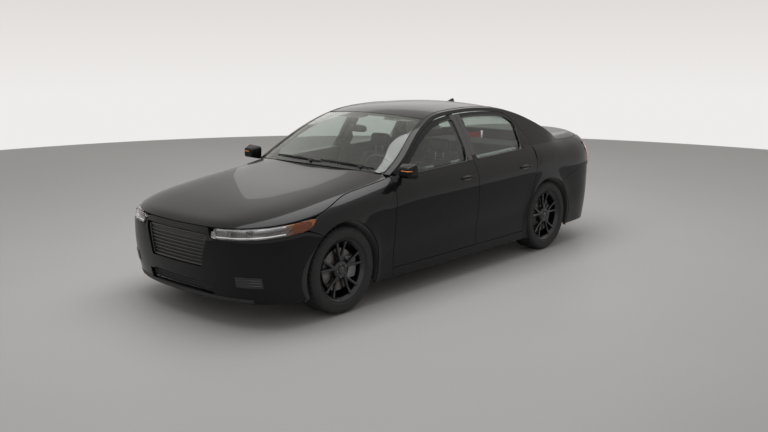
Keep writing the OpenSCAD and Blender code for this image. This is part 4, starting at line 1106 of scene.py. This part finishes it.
# ---- Seats: cushions swell as cloth from a slightly smaller start
def puffed(name, shape, cap, voxel=0.012, pressure=4.0):
    """A padded piece: a remeshed copy swells as cloth, and no point moves further than the cap."""
    o = copied(shape, name)
    bpy.data.objects.remove(shape)
    modify(o, "REMESH", mode="VOXEL", voxel_size=voxel)
    start = [v.co.copy() for v in o.data.vertices]
    only(o)
    cloth = o.modifiers.new("Cloth", "CLOTH")
    cloth.settings.use_pressure = True
    cloth.settings.uniform_pressure_force = pressure
    cloth.settings.effector_weights.gravity = 0
    cloth.settings.quality = 4
    cloth.collision_settings.use_collision = False
    for step in range(1, 21):
        bpy.context.scene.frame_set(step)
    bpy.ops.object.modifier_apply(modifier=cloth.name)
    bpy.context.scene.frame_set(1)
    for v, a in zip(o.data.vertices, start):
        d = v.co - a
        if d.length > cap:
            v.co = a + d * (cap / d.length)
    return smooth(o, 1, 60)


def bent(name, rows, outline):
    """A lofted block: rows of (along, how) drawn through outline(along, how)."""
    return outward(lofted(name, [outline(*row) for row in rows]))


def insert_faces(o, inside):
    for f in o.data.polygons:
        f.material_index = 1 if inside(f.center) else 0


seat_low, seat_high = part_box("front_seats")
wheel_low, wheel_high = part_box("steering_wheel")
seat_x = (wheel_low.x + wheel_high.x) / 2
floor_z = seat_low.z
y_front = seat_low.y


def cushion_row(y, w, top, side):
    low = floor_z + 0.085
    pts = [(-w, low), (-w - 0.004, top - 0.035), (-w + 0.012, top + side), (-w + 0.055, top + side),
        (-w + 0.085, top),
           (-0.05, top - 0.004), (0.05, top - 0.004), (w - 0.085, top), (w - 0.055, top + side),
           (w - 0.012, top + side),
           (w + 0.004, top - 0.035), (w, low)]
    return [(seat_x + x, y, z) for x, z in pts]


top = floor_z + 0.215
rows = [(y_front + 0.018, 0.170, top - 0.070, 0.0), (y_front + 0.030, 0.205, top - 0.020, 0.006),
        (y_front + 0.060, 0.215, top - 0.002, 0.014), (y_front + 0.20, 0.222, top, 0.020),
        (y_front + 0.36, 0.222, top - 0.014, 0.020), (y_front + 0.47, 0.215, top - 0.026, 0.012),
        (y_front + 0.485, 0.200, top - 0.050, 0.004)]
cushion = bent("cushion", rows, cushion_row)
lean_top = Vector((0, y_front + 0.650, floor_z + 0.782))
lean_low = Vector((0, y_front + 0.505, floor_z + 0.190))
along = (lean_top - lean_low)
rise = along.length
along.normalize()
ahead = Vector((0, -along.z, along.y))


def back_row(t, w, thick, side):
    p = lean_low + along * (rise * t)
    pts = [(-w, -0.045), (-w - 0.003, thick * 0.4), (-w + 0.014, thick + side), (-w + 0.052, thick + side),
           (-w + 0.085, thick), (-0.05, thick - 0.004), (0.05, thick - 0.004), (w - 0.085, thick),
           (w - 0.052, thick + side), (w - 0.014, thick + side), (w + 0.003, thick * 0.4), (w, -0.045)]
    return [tuple(p + Vector((seat_x + x, 0, 0)) + ahead * n) for x, n in pts]


rows = [(0.0, 0.190, 0.020, 0.0), (0.04, 0.205, 0.032, 0.012), (0.25, 0.222, 0.030, 0.026),
    (0.55, 0.228, 0.022, 0.026),
        (0.80, 0.205, 0.018, 0.014), (0.94, 0.175, 0.014, 0.004), (0.99, 0.150, 0.002, 0.0)]
backrest = bent("backrest", rows, back_row)
head_mid = Vector((seat_x + 0.002, y_front + 0.690, floor_z + 0.880))
rows = []
for t, a, b in ((-0.062, 0.085, 0.026), (-0.052, 0.108, 0.036), (0.0, 0.118, 0.041), (0.045, 0.112, 0.036),
        (0.062, 0.088, 0.024)):
    rows.append(ring(head_mid + Vector((0, 0.10, 0)) * (t + 0.02) + Vector((0, 0, t)), (1, 0, 0), (0, 1, 0),
        a, b, 20, 3.0))
headrest = outward(lofted("headrest", rows))
rear_s_low, rear_s_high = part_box("rear_seat")
bench_y = rear_s_low.y


def bench_row(y, top, dip):
    w = rear_s_high.x - 0.030
    low = rear_s_low.z + 0.022
    pts = [(-w, low), (-w, top - 0.02), (-w + 0.04, top), (-0.40, top - dip), (-0.30, top - dip),
        (-0.13, top), (0.0, top + dip * 0.3),
           (0.13, top), (0.30, top - dip), (0.40, top - dip), (w - 0.04, top), (w, top - 0.02), (w, low)]
    return [(x, y, z) for x, z in pts]


bench_top = floor_z + 0.238
bench = bent("bench", [(bench_y + 0.028, bench_top - 0.045, 0.0), (bench_y + 0.045, bench_top - 0.012, 0.006),
                       (bench_y + 0.12, bench_top, 0.012), (bench_y + 0.30, bench_top - 0.010, 0.014),
                       (bench_y + 0.40, bench_top - 0.022, 0.010)], bench_row)
rest_low = Vector((0, bench_y + 0.468, floor_z + 0.255))
rest_top = Vector((0, bench_y + 0.552, floor_z + 0.712))
rest_along = (rest_top - rest_low)
rest_rise = rest_along.length
rest_along.normalize()
rest_ahead = Vector((0, -rest_along.z, rest_along.y))


def rest_row(t, w, thick, dip):
    p = rest_low + rest_along * (rest_rise * t)
    pts = [(-w, -0.020), (-w, thick * 0.5), (-w + 0.03, thick), (-0.42, thick - dip), (-0.28, thick - dip),
        (-0.14, thick),
           (0.0, thick + dip * 0.2), (0.14, thick), (0.28, thick - dip), (0.42, thick - dip),
           (w - 0.03, thick), (w, thick * 0.5),
           (w, -0.020)]
    return [tuple(p + Vector((x, 0, 0)) + rest_ahead * n) for x, n in pts]


rest_half = rear_s_high.x - 0.030
rests = bent("rests", [(0.0, rest_half, 0.022, 0.004), (0.06, rest_half, 0.030, 0.010),
    (0.5, rest_half, 0.026, 0.012),
                       (0.90, rest_half - 0.02, 0.020, 0.006), (0.985, rest_half - 0.05, 0.008, 0.0)], rest_row)

cushion = puffed("seat_cushion", cushion, 0.016)
backrest = puffed("seat_backrest", backrest, 0.015)
headrest = puffed("seat_headrest", headrest, 0.008, voxel=0.010)
bench = puffed("rear_seat_cushion", bench, 0.015, voxel=0.014)
rests = puffed("rear_seat_backrest", rests, 0.014, voxel=0.014)


def piping(target_object, places, direction, radius=0.0022):
    """A sewn cord laid on a cushion where rays from the places meet it."""
    mesh = target_object.data
    target = BVHTree.FromPolygons([v.co.copy() for v in mesh.vertices],
        [tuple(p.vertices) for p in mesh.polygons])
    points = []
    for p in places:
        place, normal = hit(target, p, direction)
        if place is not None:
            points.append(place + normal * radius * 0.35)
    return rod("piping", points, radius, sides=2)


insert_half = 0.128      # half the width of the seats' middle panels
cords = []
for x in (-insert_half, insert_half):
    cords.append(piping(cushion, [(seat_x + x, y_front + 0.05 + 0.40 * k / 30, 1.0) for k in range(31)],
        (0, 0, -1)))
for y in (0.14, 0.235, 0.33):
    cords.append(piping(cushion, [(seat_x - 0.126 + 0.252 * k / 16, y_front + y, 1.0) for k in range(17)],
        (0, 0, -1), 0.0018))
for x in (-insert_half, insert_half):
    cords.append(piping(backrest,
        [tuple(lean_low + along * (rise * (0.08 + 0.78 * k / 34)) + ahead * 0.3 + Vector((seat_x + x, 0, 0)))
                                   for k in range(35)], -ahead))
for t in (0.25, 0.42, 0.59, 0.76):
    cords.append(piping(backrest,
        [tuple(lean_low + along * (rise * t) + ahead * 0.3 + Vector((seat_x - 0.126 + 0.252 * k / 16, 0, 0)))
                                   for k in range(17)], -ahead, 0.0018))
seams = joined("seams", cords)
rear_cords = []
for x in (-0.52, -0.17, 0.17, 0.52):
    rear_cords.append(piping(bench, [(x, bench_y + 0.06 + 0.31 * k / 20, 1.2) for k in range(21)], (0, 0, -1)))
    rear_cords.append(piping(rests,
        [tuple(rest_low + rest_along * (rest_rise * (0.14 + 0.74 * k / 24)) + rest_ahead * 0.3 + Vector((x, 0,
        0)))
                                     for k in range(25)], -rest_ahead))
rear_seams = joined("rear_seams", rear_cords)


def centre_of_cushion(c):
    return abs(c.x - seat_x) < insert_half and c.z > floor_z + 0.16


def centre_of_back(c):
    n = (c - lean_low).dot(ahead)
    t = (c - lean_low).dot(along) / rise
    return abs(c.x - seat_x) < insert_half and n > 0.0 and 0.06 < t < 0.88


for shape, title, inside in ((cushion, "front_seat_cushion", centre_of_cushion),
        (backrest, "front_seat_backrest", centre_of_back),
                             (headrest, "front_headrest", None)):
    for word, sign in SIDES:
        o = smooth(for_side(shape, f"{title}_{word}", sign), 0, 60)
        dress(o, "body", "seat_cover", leather, leather_mid)
        if inside:
            insert_faces(o, lambda c: inside(Vector((abs(c.x), c.y, c.z))))
        if title == "front_seat_cushion" and sign > 0:
            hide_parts("front_seats")
    bpy.data.objects.remove(shape)
for o, title in ((bench, "rear_seat_cushion"), (rests, "rear_seat_backrest")):
    one(o, title, "body", "seat_cover", leather, leather_mid, angle=60)
    insert_faces(o, lambda c: 0.17 < abs(c.x) < 0.52 and c.z > rear_s_low.z + 0.06)
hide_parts("rear_seat")
both_sides(seams, "front_seat_seams", "body", "seat_cover", leather, angle=70)
one(rear_seams, "rear_seat_seams", "body", "seat_cover", leather, angle=70)

# ---- Seat frames, back shells and head restraint posts
base = block("base", (seat_x - 0.205, y_front + 0.05, floor_z + 0.035),
    (seat_x + 0.205, y_front + 0.52, floor_z + 0.118))
press_in(base, lambda f: f.normal.z > 0.9, 0.02, -0.03)
runners = []
for x in (seat_x - 0.165, seat_x + 0.165):
    runner = block("runner", (x - 0.022, y_front + 0.02, floor_z + 0.001), (x + 0.022, y_front + 0.53, floor_z + 0.036))
    runners.append(bevel_sharp(runner, 0.006, 2))
lever = rod("lever", [(seat_x + 0.208, y_front + 0.10, floor_z + 0.085),
    (seat_x + 0.222, y_front + 0.105, floor_z + 0.088),
                      (seat_x + 0.222, y_front + 0.20, floor_z + 0.092)], 0.008, sides=3)
both_sides(joined("base", [bevel_sharp(base, 0.010, 3), *runners, lever]), "front_seat_base", "body",
    "cabin_trim", cabin)


def shell_at(u, v):
    x = (u - 0.5) * 0.40 * (1 - 0.18 * v * v)
    p = lean_low + along * (rise * (0.02 + 0.92 * v)) - ahead * (0.056 - 0.012 * abs(2 * u - 1) ** 3)
    return p + Vector((seat_x + x, 0, 0))


both_sides(smooth(fitted("shell", shell_at, 16, 16, 0.006), 1), "front_seat_back_shell", "body", "cabin_trim",
    cabin)
posts = [rod("post", [head_mid + Vector((x, -0.012, -0.145)), head_mid + Vector((x, -0.006, -0.055)),
                      head_mid + Vector((x, 0, -0.02))], 0.0065, sides=3) for x in (-0.045, 0.045)]
both_sides(joined("posts", posts), "headrest_posts", "body", "cabin_trim", bright)

# ---- Dashboard
dash = twin("dashboard", "dashboard_pad")
bevel_sharp(dash, 0.012, 3, 30)
dress(smooth(dash, 0, 40), "body", "cabin_trim", cabin)
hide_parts("dashboard")
dash_tree = tree("dashboard")


def dash_at(x, z, out=0.0):
    """A place on the dashboard's face towards the seats."""
    place, normal = hit(dash_tree, (x, 1.0, z), (0, -1, 0))
    return place + Vector((0, out, 0)) if place is not None else None


def dash_patch(x0, x1, z0, z1, out):
    return lambda u, v: dash_at(x0 + (x1 - x0) * u, z0 + (z1 - z0) * v, out)


dash_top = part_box("dashboard")[1].z
one(fitted("trim", dash_patch(-0.62, 0.62, dash_top - 0.150, dash_top - 0.122, 0.002), 50, 3, 0.004, 0.001),
    "dashboard_trim_strip", "body", "cabin_trim", bright)
one(fitted("screen", dash_patch(-0.125, 0.105, dash_top - 0.105, dash_top - 0.022, 0.006), 8, 4, 0.012, 0.003),
    "blank_screen", "body", "cabin_trim", screen_glass)
vents = []
for x in (-0.60, -0.205, 0.185, 0.60):
    for k in range(5):
        z = dash_top - 0.112 + 0.011 * k
        a, b = dash_at(x - 0.045, z, 0.003), dash_at(x + 0.045, z, 0.003)
        if a is not None and b is not None:
            vents.append(rod("slat", [a, b], 0.0028, sides=1))
one(joined("vents", vents), "dashboard_vent_slats", "body", "cabin_trim", trim)
hood_rows = []
for k, (y, a, b) in enumerate(((-0.905, 0.155, 0.012), (-0.86, 0.165, 0.028), (-0.80, 0.168, 0.040),
        (-0.745, 0.160, 0.040))):
    hood_rows.append([p for p in ring((seat_x, y, dash_top - 0.035), (1, 0, 0), (0, 0, 1), a, b + 0.022, 24,
        2.6)])
one(smooth(lofted("binnacle", hood_rows), 1), "instrument_hood", "body", "cabin_trim", cabin)
one(pad_of("dials", ring((seat_x, -0.747, dash_top - 0.034), (1, 0, 0), (0, 0, 1), 0.145, 0.046, 28, 2.8),
    (0, 0.006, 0), 0.002),
    "blank_dials", "body", "cabin_trim", screen_glass)
one(pad_of("glovebox", [dash_at(x, z, 0.0) for x, z in ((-0.60, dash_top - 0.285), (-0.22, dash_top - 0.285),
    (-0.22, dash_top - 0.165),
                                                      (-0.60, dash_top - 0.165))], (0, 0.006, 0), 0.003),
    "glovebox_lid", "body", "cabin_trim", cabin)
console_top = hit(dash_tree, (0, -0.35, 2), (0, 0, -1))[0].z
rest_top_z = hit(dash_tree, (0, 0.2, 2), (0, 0, -1))[0].z
lid_pad = block("lid_pad", (-0.084, -0.02, rest_top_z - 0.012), (0.084, 0.335, rest_top_z + 0.010))
edit(divided(lid_pad, 3))
pick_faces(lid_pad, lambda f: f.normal.z > 0.9 and abs(f.calc_center_median().x) < 0.05)
bpy.ops.transform.translate(value=(0, 0, 0.006))
leave()
one(smooth(bevel_sharp(lid_pad, 0.008, 3), 1), "console_armrest_lid", "body", "cabin_trim", leather, angle=50)
gear_plate = pad_of("plate", ring((0, -0.43, console_top - 0.001), (1, 0, 0), (0, 1, 0), 0.055, 0.100, 28,
    3.5), (0, 0, 0.005), 0.0018)
one(gear_plate, "gear_surround", "body", "cabin_trim", gloss_trim)
knob_rows = [ring((0, -0.44 + 0.012 * t, console_top + 0.004 + 0.085 * t), (1, 0, 0), (0, 1, 0), a, b, 20, 2.4)
             for t, a, b in ((0.0, 0.020, 0.026), (0.35, 0.012, 0.015), (0.55, 0.014, 0.018),
             (0.75, 0.021, 0.028), (0.95, 0.020, 0.027),
                             (1.0, 0.013, 0.018))]
one(smooth(lofted("lever", knob_rows), 1), "gear_lever", "body", "cabin_trim", leather, angle=50)
cups = joined("cups", [smooth(drum("cup", 0.036, 0.005, (0, y, console_top + 0.0005), (0, 0, 1), 40), 0, 40)
    for y in (-0.27, -0.185)])
press_in(cups, lambda f: f.normal.z > 0.9, 0.004, -0.0022, use_individual=True)
one(bevel_sharp(cups, 0.0008, 1), "cup_rings", "body", "cabin_trim", bright)

# ---- Steering wheel, turned to its column
column_y = -0.5
tilt = Matrix.Translation((seat_x, column_y, 0.9)) @ Matrix.Rotation(math.radians(-66), 4, "X")
bpy.ops.object.select_all(action="DESELECT")
bpy.ops.mesh.primitive_torus_add(major_segments=72, minor_segments=16, major_radius=0.180, minor_radius=0.0138)
wheel_rim = bpy.context.object
for v in wheel_rim.data.vertices:
    a = math.atan2(v.co.y, v.co.x)
    grip = 1 + 0.10 * math.exp(-((abs(abs(a) - math.pi / 2) - math.pi / 2 - 0.0) / 0.35) ** 2)
    centre = Vector((math.cos(a), math.sin(a), 0)) * 0.180
    v.co = centre + (v.co - centre) * min(grip, 1.0)
spokes = []
for a, w0, w1 in ((0, 0.024, 0.017), (math.pi, 0.024, 0.017), (math.pi / 2, 0.022, 0.020)):
    outlines = []
    for r, w, z, t in ((0.048, w0, 0.004, 0.010), (0.090, w0 * 0.8, 0.001, 0.008), (0.135, w1, 0.000, 0.007),
            (0.172, w1 * 1.15, 0.0, 0.007)):
        outlines.append([(r, -w, z - t), (r, -w, z + t), (r, 0, z + t + 0.002), (r, w, z + t), (r, w, z - t)])
    spoke = smooth(lofted("spoke", outlines), 1, 40)
    spoke.data.transform(Matrix.Rotation(a, 4, "Z"))
    spokes.append(spoke)
boss_rows = [ring((0, -0.004, z), (1, 0, 0), (0, 1, 0), a, b, 32, 2.8) for z, a, b in (
    (-0.018, 0.040, 0.038), (-0.010, 0.054, 0.050), (0.010, 0.058, 0.052), (0.020, 0.052, 0.047),
    (0.0245, 0.030, 0.028), (0.0255, 0.008, 0.008))]
boss = smooth(lofted("boss", boss_rows), 1, 60)
column = drum("column", 0.0178, 0.252, (0, 0, -0.144), (0, 0, 1), 32)
press_in(column, lambda f: f.normal.z < -0.9, 0.003)
for o, title, cover in ((wheel_rim, "steering_wheel_rim", leather),
        (joined("spokes", spokes), "steering_wheel_spokes", gloss_trim),
                        (boss, "steering_wheel_boss", cabin),
                        (bevel_sharp(column, 0.002, 2), "steering_column", steel)):
    o.data.transform(tilt)
    one(o, title, "steering_wheel", "cabin_trim", cover, angle=50)
    if title == "steering_wheel_rim":
        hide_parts("steering_wheel")

# ---- Door cards
rest_z = 0.655      # where the armrests begin to round
for end in ("front", "rear"):
    inner_tree = tree(f"{end}_door_left")
    d_low, d_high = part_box(f"{end}_door_left")
    y0, y1 = (d_low.y + 0.16, d_high.y - 0.12) if end == "front" else (d_low.y + 0.12, d_low.y + 0.66)

    def card_x(y, z):
        place, _ = hit(inner_tree, (0.2, y, z), (1, 0, 0))
        return place.x if place is not None else None

    def armrest_row(y, w, h):
        x = card_x(y, 0.66) or 0.85
        return [(x + 0.004, y, rest_z - h), (x - w * 0.5, y, rest_z - h), (x - w, y, rest_z - h * 0.3),
                (x - w, y, rest_z + 0.013), (x - w * 0.7, y, rest_z + 0.021), (x + 0.004, y, rest_z + 0.021)]

    span = y1 - y0
    rows = [(y0 + span * t, w, h) for t, w, h in ((0.0, 0.012, 0.02), (0.06, 0.040, 0.045),
        (0.35, 0.052, 0.060), (0.7, 0.052, 0.060),
                                                 (0.94, 0.040, 0.045), (1.0, 0.014, 0.02))]
    arm = smooth(bent("armrest", rows, armrest_row), 1, 50)
    both_sides(arm, f"{end}_door_armrest", f"{end}_door_{{}}", "cabin_trim", leather_mid, angle=50)
    z_in = 0.815
    pull = rod("pull", [(card_x(y0 + span * t, z_in) - d, y0 + span * t, z_in) for t, d in (
        (0.22, 0.002), (0.225, 0.016), (0.30, 0.020), (0.36, 0.016), (0.365, 0.002))], 0.006, sides=3)
    both_sides(pull, f"{end}_door_inner_handle", f"{end}_door_{{}}", "cabin_trim", bright, angle=60)
    mid = Vector((0, y0 + span * 0.16, 0.40))
    rim_line = ring(mid, (0, 1, 0), (0, 0, 1), 0.075, 0.075, 40)
    xs = [card_x(p.y, p.z) for p in rim_line]
    if all(x is not None for x in xs):
        ring_o = rod("ring", [Vector((x - 0.002, p.y, p.z)) for x, p in zip(xs, rim_line)], 0.004,
            closed=True, sides=2)
        bars_o = []
        for k in range(-6, 7):
            h = math.sqrt(0.073 ** 2 - (k * 0.0115) ** 2)
            line = [(card_x(mid.y + j * h / 4, mid.z + k * 0.0115) or xs[0], mid.y + j * h / 4,
                mid.z + k * 0.0115) for j in range(-4, 5)]
            bars_o.append(rod("bar", [(x - 0.0015, y, z) for x, y, z in line], 0.0022, sides=1))
        both_sides(joined("speaker", [ring_o, *bars_o]), f"{end}_door_speaker", f"{end}_door_{{}}",
            "cabin_trim", trim, angle=60)

# ---- Under the hood, the boot and the floor
e_low, e_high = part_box("engine_block")
cover = block("cover", (e_low.x + 0.02, e_low.y + 0.03, e_high.z - 0.004),
    (e_high.x - 0.02, e_high.y - 0.06, e_high.z + 0.028))
press_in(divided(cover, 7), lambda f: f.normal.z > 0.9 and int((f.calc_center_median().x + 2) / 0.0701) % 2 == 0
         and e_low.y + 0.09 < f.calc_center_median().y < e_high.y - 0.12, 0.006, -0.006)
one(smooth(bevel_sharp(cover, 0.006, 3)), "engine_cover", "body", "engine_casting", trim, angle=40)
for n, cover_of, width in (("engine_block", cast, 0.010), ("exhaust", exhaust_metal, 0.008),
        ("front_subframe", under, 0.004),
                           ("rear_axle", under, 0.004), ("wheel_liners", liner_felt, 0.0012),
                           ("bulkheads", under, 0.003),
                           ("door_pillars", cabin, 0.002)):
    slot_name = {"engine_block": "engine_casting", "exhaust": "exhaust_steel"}.get(n, "underbody")
    o = twin(n, n + "_finished")
    bevel_sharp(o, width, 2, 45)
    dress(smooth(o, 0, 35), "body", slot_name, cover_of)
    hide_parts(n)

# ---- Arch flanges from the liners out to the panels, and skirts down to the body's lower edge
arch_z, arch_r = 0.344, 0.373      # middle height and radius of the arches
liner_inner, liner_side = 0.56, 0.888      # how far out the liners begin and end
skirt_top = 0.300


def panel_edge(hub, c, h):
    """Where the side panels begin round a wheel: the radius, and how far out they stand just past it."""
    def stands(r):
        place, _ = hit(outer, (2, hub.y + r * c, max(arch_z + r * h, 0.215)), (-1, 0, 0))
        return place.x if place is not None else 0.0

    r = edge_between(lambda r: stands(r) > 0.8, 0.350, 0.440) + 0.012
    return r, min(stands(r), 0.930)


for end, hub in (("front", front_hub), ("rear", rear_hub)):
    for way, word in ((-1, "fore"), (1, "aft")):
        z0 = 0.197 if (end, way) != ("rear", 1) else 0.210

        def skirt_at(u, v):
            z = z0 + (skirt_top - z0) * v
            y = way * (math.sqrt(arch_r ** 2 - (z - arch_z) ** 2) + 0.003)
            far = math.hypot(y, z - arch_z)
            x_out = panel_edge(hub, y / far, (z - arch_z) / far)[1] - 0.008
            return Vector((liner_inner + (x_out - liner_inner) * u, hub.y + y, z))

        both_sides(fitted("skirt", skirt_at, 12, 5, 0.003, 0.0008), f"{end}_arch_skirt_{word}", "body",
            "underbody", liner_felt)

    def flange_at(u, v):
        a = math.radians(-23.5 + 227 * u)
        c, h = math.cos(a), math.sin(a)
        r_out, x_out = panel_edge(hub, c, h)
        r = arch_r + max(v * 2 - 1, 0) * (r_out - arch_r)
        return Vector((liner_side + (x_out - 0.0065 - liner_side) * min(v * 2, 1), hub.y + r * c, arch_z + r * h))

    both_sides(fitted("flange", flange_at, 84, 4, 0.0025, 0.0006), f"{end}_arch_flange", "body", "underbody",
        liner_felt)

# ---- Seals round the windscreen and the rear window
for n in ("windscreen", "rear_window"):
    target = tree(n)
    w_low, w_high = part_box(n)

    def rim_y(x, from_y, way):
        on = lambda y: hit(target, (x, y, 3), (0, 0, -1))[0] is not None
        y = next(from_y + way * 0.004 * k for k in range(220) if on(from_y + way * 0.004 * k))
        return edge_between(on, y - way * 0.004, y)

    def rim_x(y):
        on = lambda x: hit(target, (x, y, 3), (0, 0, -1))[0] is not None
        x = next(w_high.x + 0.01 - 0.004 * k for k in range(220) if on(w_high.x + 0.01 - 0.004 * k))
        return edge_between(on, x + 0.004, x)

    y_foot, y_head = (w_low.y, w_high.y) if n == "windscreen" else (w_high.y, w_low.y)
    way = 1 if n == "windscreen" else -1
    inset = 0.0 if n == "windscreen" else 0.0045
    foot_line = [(x, rim_y(x, y_foot - way * 0.01, way) + way * inset)
        for x in (w_high.x * 0.96 * (1 - k / 12) for k in range(25))]
    head_x = rim_x(y_head - way * 0.07) * 0.96
    head_line = [(x, rim_y(x, y_head + way * 0.01, -way)) for x in (-head_x * (1 - k / 12) for k in range(25))]
    side_y = [foot_line[0][1] + way * 0.03 + (head_line[-1][1] - foot_line[0][1] - way * 0.05) * k / 12
        for k in range(13)]
    side_line = [(rim_x(y), y) for y in side_y]
    around = foot_line + [(-x, y) for x, y in side_line] + head_line + side_line[::-1]
    seal = []
    for x, y in around:
        inner = (x * 0.994, y + (-0.003 if y > (w_low.y + w_high.y) / 2 else 0.003))
        place, _ = hit(target, (*inner, 3), (0, 0, -1))
        if place is not None:
            seal.append(Vector((x, y, place.z - 0.0012)))
    one(rod("seal", seal, 0.0042 - inset * 0.2, closed=True, sides=2), n + "_seal", "body", "black_trim",
        rubber, angle=60)

# ---- Boot lining, mats, inner mirror and visors
boot_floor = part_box("floor_pan")[1].z - 0.008
lining = [fitted("lining", lambda u, v: (-0.612 + 1.224 * u, 1.262 + 1.01 * v, boot_floor), 24, 20, 0.006,
    0.002)]
for sign in (1, -1):
    lining.append(fitted("lining", lambda u, v: (0.616 * sign, 1.262 + 1.01 * u,
        boot_floor + 0.004 + 0.30 * v), 20, 8, 0.005, 0.002))
lining.append(fitted("lining", lambda u, v: (-0.612 + 1.224 * u, 2.274, boot_floor + 0.004 + 0.27 * v), 24, 8,
    0.005, 0.002))
one(joined("lining", lining), "boot_lining", "body", "cabin_trim", carpet, angle=50)
mats = []
for y0, y1 in ((-1.02, -0.47), (0.19, 0.60)):
    mat = pad_of("mat", ring((0.385, (y0 + y1) / 2, floor_z + 0.0012), (1, 0, 0), (0, 1, 0), 0.215,
        (y1 - y0) / 2, 32, 7.0),
                 (0, 0, 0.008), 0.0025)
    mats.append(mat)
both_sides(joined("mats", mats), "floor_mats", "body", "cabin_trim", carpet, angle=50)
glass_y = -0.44
glass_z = top_at(0, glass_y).z - 0.075
back_of_mirror = [ring((0, glass_y + d, glass_z), (1, 0, 0), (0, 0, 1), a, b, 28, 3.2) for d, a, b in (
    (0.0, 0.116, 0.030), (-0.006, 0.120, 0.034), (-0.016, 0.110, 0.028), (-0.024, 0.060, 0.016))]
stalk = rod("stalk", [(0, glass_y - 0.018, glass_z), (0, glass_y - 0.040, glass_z + 0.030),
                      (0, glass_y - 0.050, top_at(0, glass_y - 0.050).z - 0.010)], 0.008, sides=3)
one(joined("holder", [smooth(lofted("holder", back_of_mirror), 1, 50), stalk]), "inner_mirror_holder", "body",
    "cabin_trim", cabin,
    angle=50)
one(pad_of("pane", ring((0, glass_y + 0.0005, glass_z), (1, 0, 0), (0, 0, 1), 0.108, 0.024, 28, 3.2),
    (0, 0.0025, 0), 0.0008),
    "inner_mirror_glass", "body", "cabin_trim", bright)
visor_z = top_at(0.46, -0.255).z - 0.030
for sign in (1, -1):
    visor = ring((0.29 * sign, -0.195, visor_z), (1, 0, 0), (0, 1, 0.15), 0.165, 0.060, 28, 4.5)
    one(pad_of("visor", visor, (0, 0, 0.012), 0.004), "sun_visor_" + ("left" if sign > 0 else "right"),
        "body", "cabin_trim",
        headlining)

# ---- Floor, light and camera
bpy.ops.object.select_all(action="DESELECT")
bpy.ops.mesh.primitive_circle_add(vertices=128, radius=11, fill_type="NGON", location=(0, 0, 0))
floor = bpy.context.object
floor.name = "studio_floor"
floor_finish = finish("studio_floor_finish", (0.40, 0.395, 0.39), 0.55, vary=0.015, scale=0.8, rough_vary=0.03)
floor.data.materials.append(floor_finish)

world = bpy.data.worlds.new("studio")
bpy.context.scene.world = world
world.use_nodes = True
sky = world.node_tree
sky.nodes.clear()
output, seen, light, where, split, wall, height, rays, both, every, mixed = (
    sky.nodes.new("ShaderNode" + kind) for kind in (
    "OutputWorld", "Background", "Background", "TexCoord", "SeparateXYZ", "ValToRGB", "MapRange", "LightPath",
    "Math",
    "Math", "MixShader"))
light.inputs["Color"].default_value = (1.0, 0.985, 0.97, 1)
light.inputs["Strength"].default_value = 0.5
for element, place, colour in zip(wall.color_ramp.elements, (0.35, 1.0),
        ((0.86, 0.84, 0.83, 1), (0.73, 0.70, 0.67, 1))):
    element.position, element.color = place, colour
height.inputs["From Min"].default_value = -0.12
height.inputs["From Max"].default_value = 0.06
both.operation = every.operation = "MAXIMUM"
for a, b in ((where.outputs["Generated"], split.inputs[0]), (split.outputs["Z"], height.inputs["Value"]),
             (height.outputs["Result"], wall.inputs[0]), (wall.outputs[0], seen.inputs["Color"]),
             (rays.outputs["Is Camera Ray"], both.inputs[0]),
             (rays.outputs["Is Transmission Ray"], both.inputs[1]),
             (both.outputs[0], every.inputs[0]), (rays.outputs["Is Glossy Ray"], every.inputs[1]),
             (every.outputs[0], mixed.inputs["Fac"]), (light.outputs[0], mixed.inputs[1]),
             (seen.outputs[0], mixed.inputs[2]), (mixed.outputs[0], output.inputs["Surface"])):
    sky.links.new(a, b)


def softbox(name, place, aim, size, power):
    data = bpy.data.lights.new(name, "AREA")
    data.shape = "RECTANGLE"
    data.size, data.size_y = size
    data.energy = power
    o = added(bpy.data.objects.new(name, data))
    o.location = place
    o.rotation_euler = (Vector(aim) - Vector(place)).to_track_quat("-Z", "Y").to_euler()
    return o


softbox("ceiling_light", (0, -0.3, 5.2), (0, 0, 0), (3.2, 7.0), 210)
softbox("front_light", (3.2, -7.5, 3.6), (0, -1.5, 0.5), (3.0, 2.0), 14)
back_box = softbox("back_light", (-5.2, 6.0, 3.6), (0, -0.6, 1.0), (7.0, 2.6), 34)
back_box.visible_camera = False

view = bpy.data.cameras.new("camera")
view.sensor_width = 36
view.lens = 18 / math.tan(math.radians(46.8) / 2)
camera = added(bpy.data.objects.new("camera", view))
camera.location = (5.442, -6.159, 2.053)
azimuth, elevation = math.radians(41.88), math.radians(11.34)
back = Vector((math.sin(azimuth) * math.cos(elevation), -math.cos(azimuth) * math.cos(elevation),
    math.sin(elevation)))
camera.rotation_euler = (-back).to_track_quat("-Z", "Y").to_euler()
bpy.context.scene.camera = camera

bpy.context.view_layer.update()
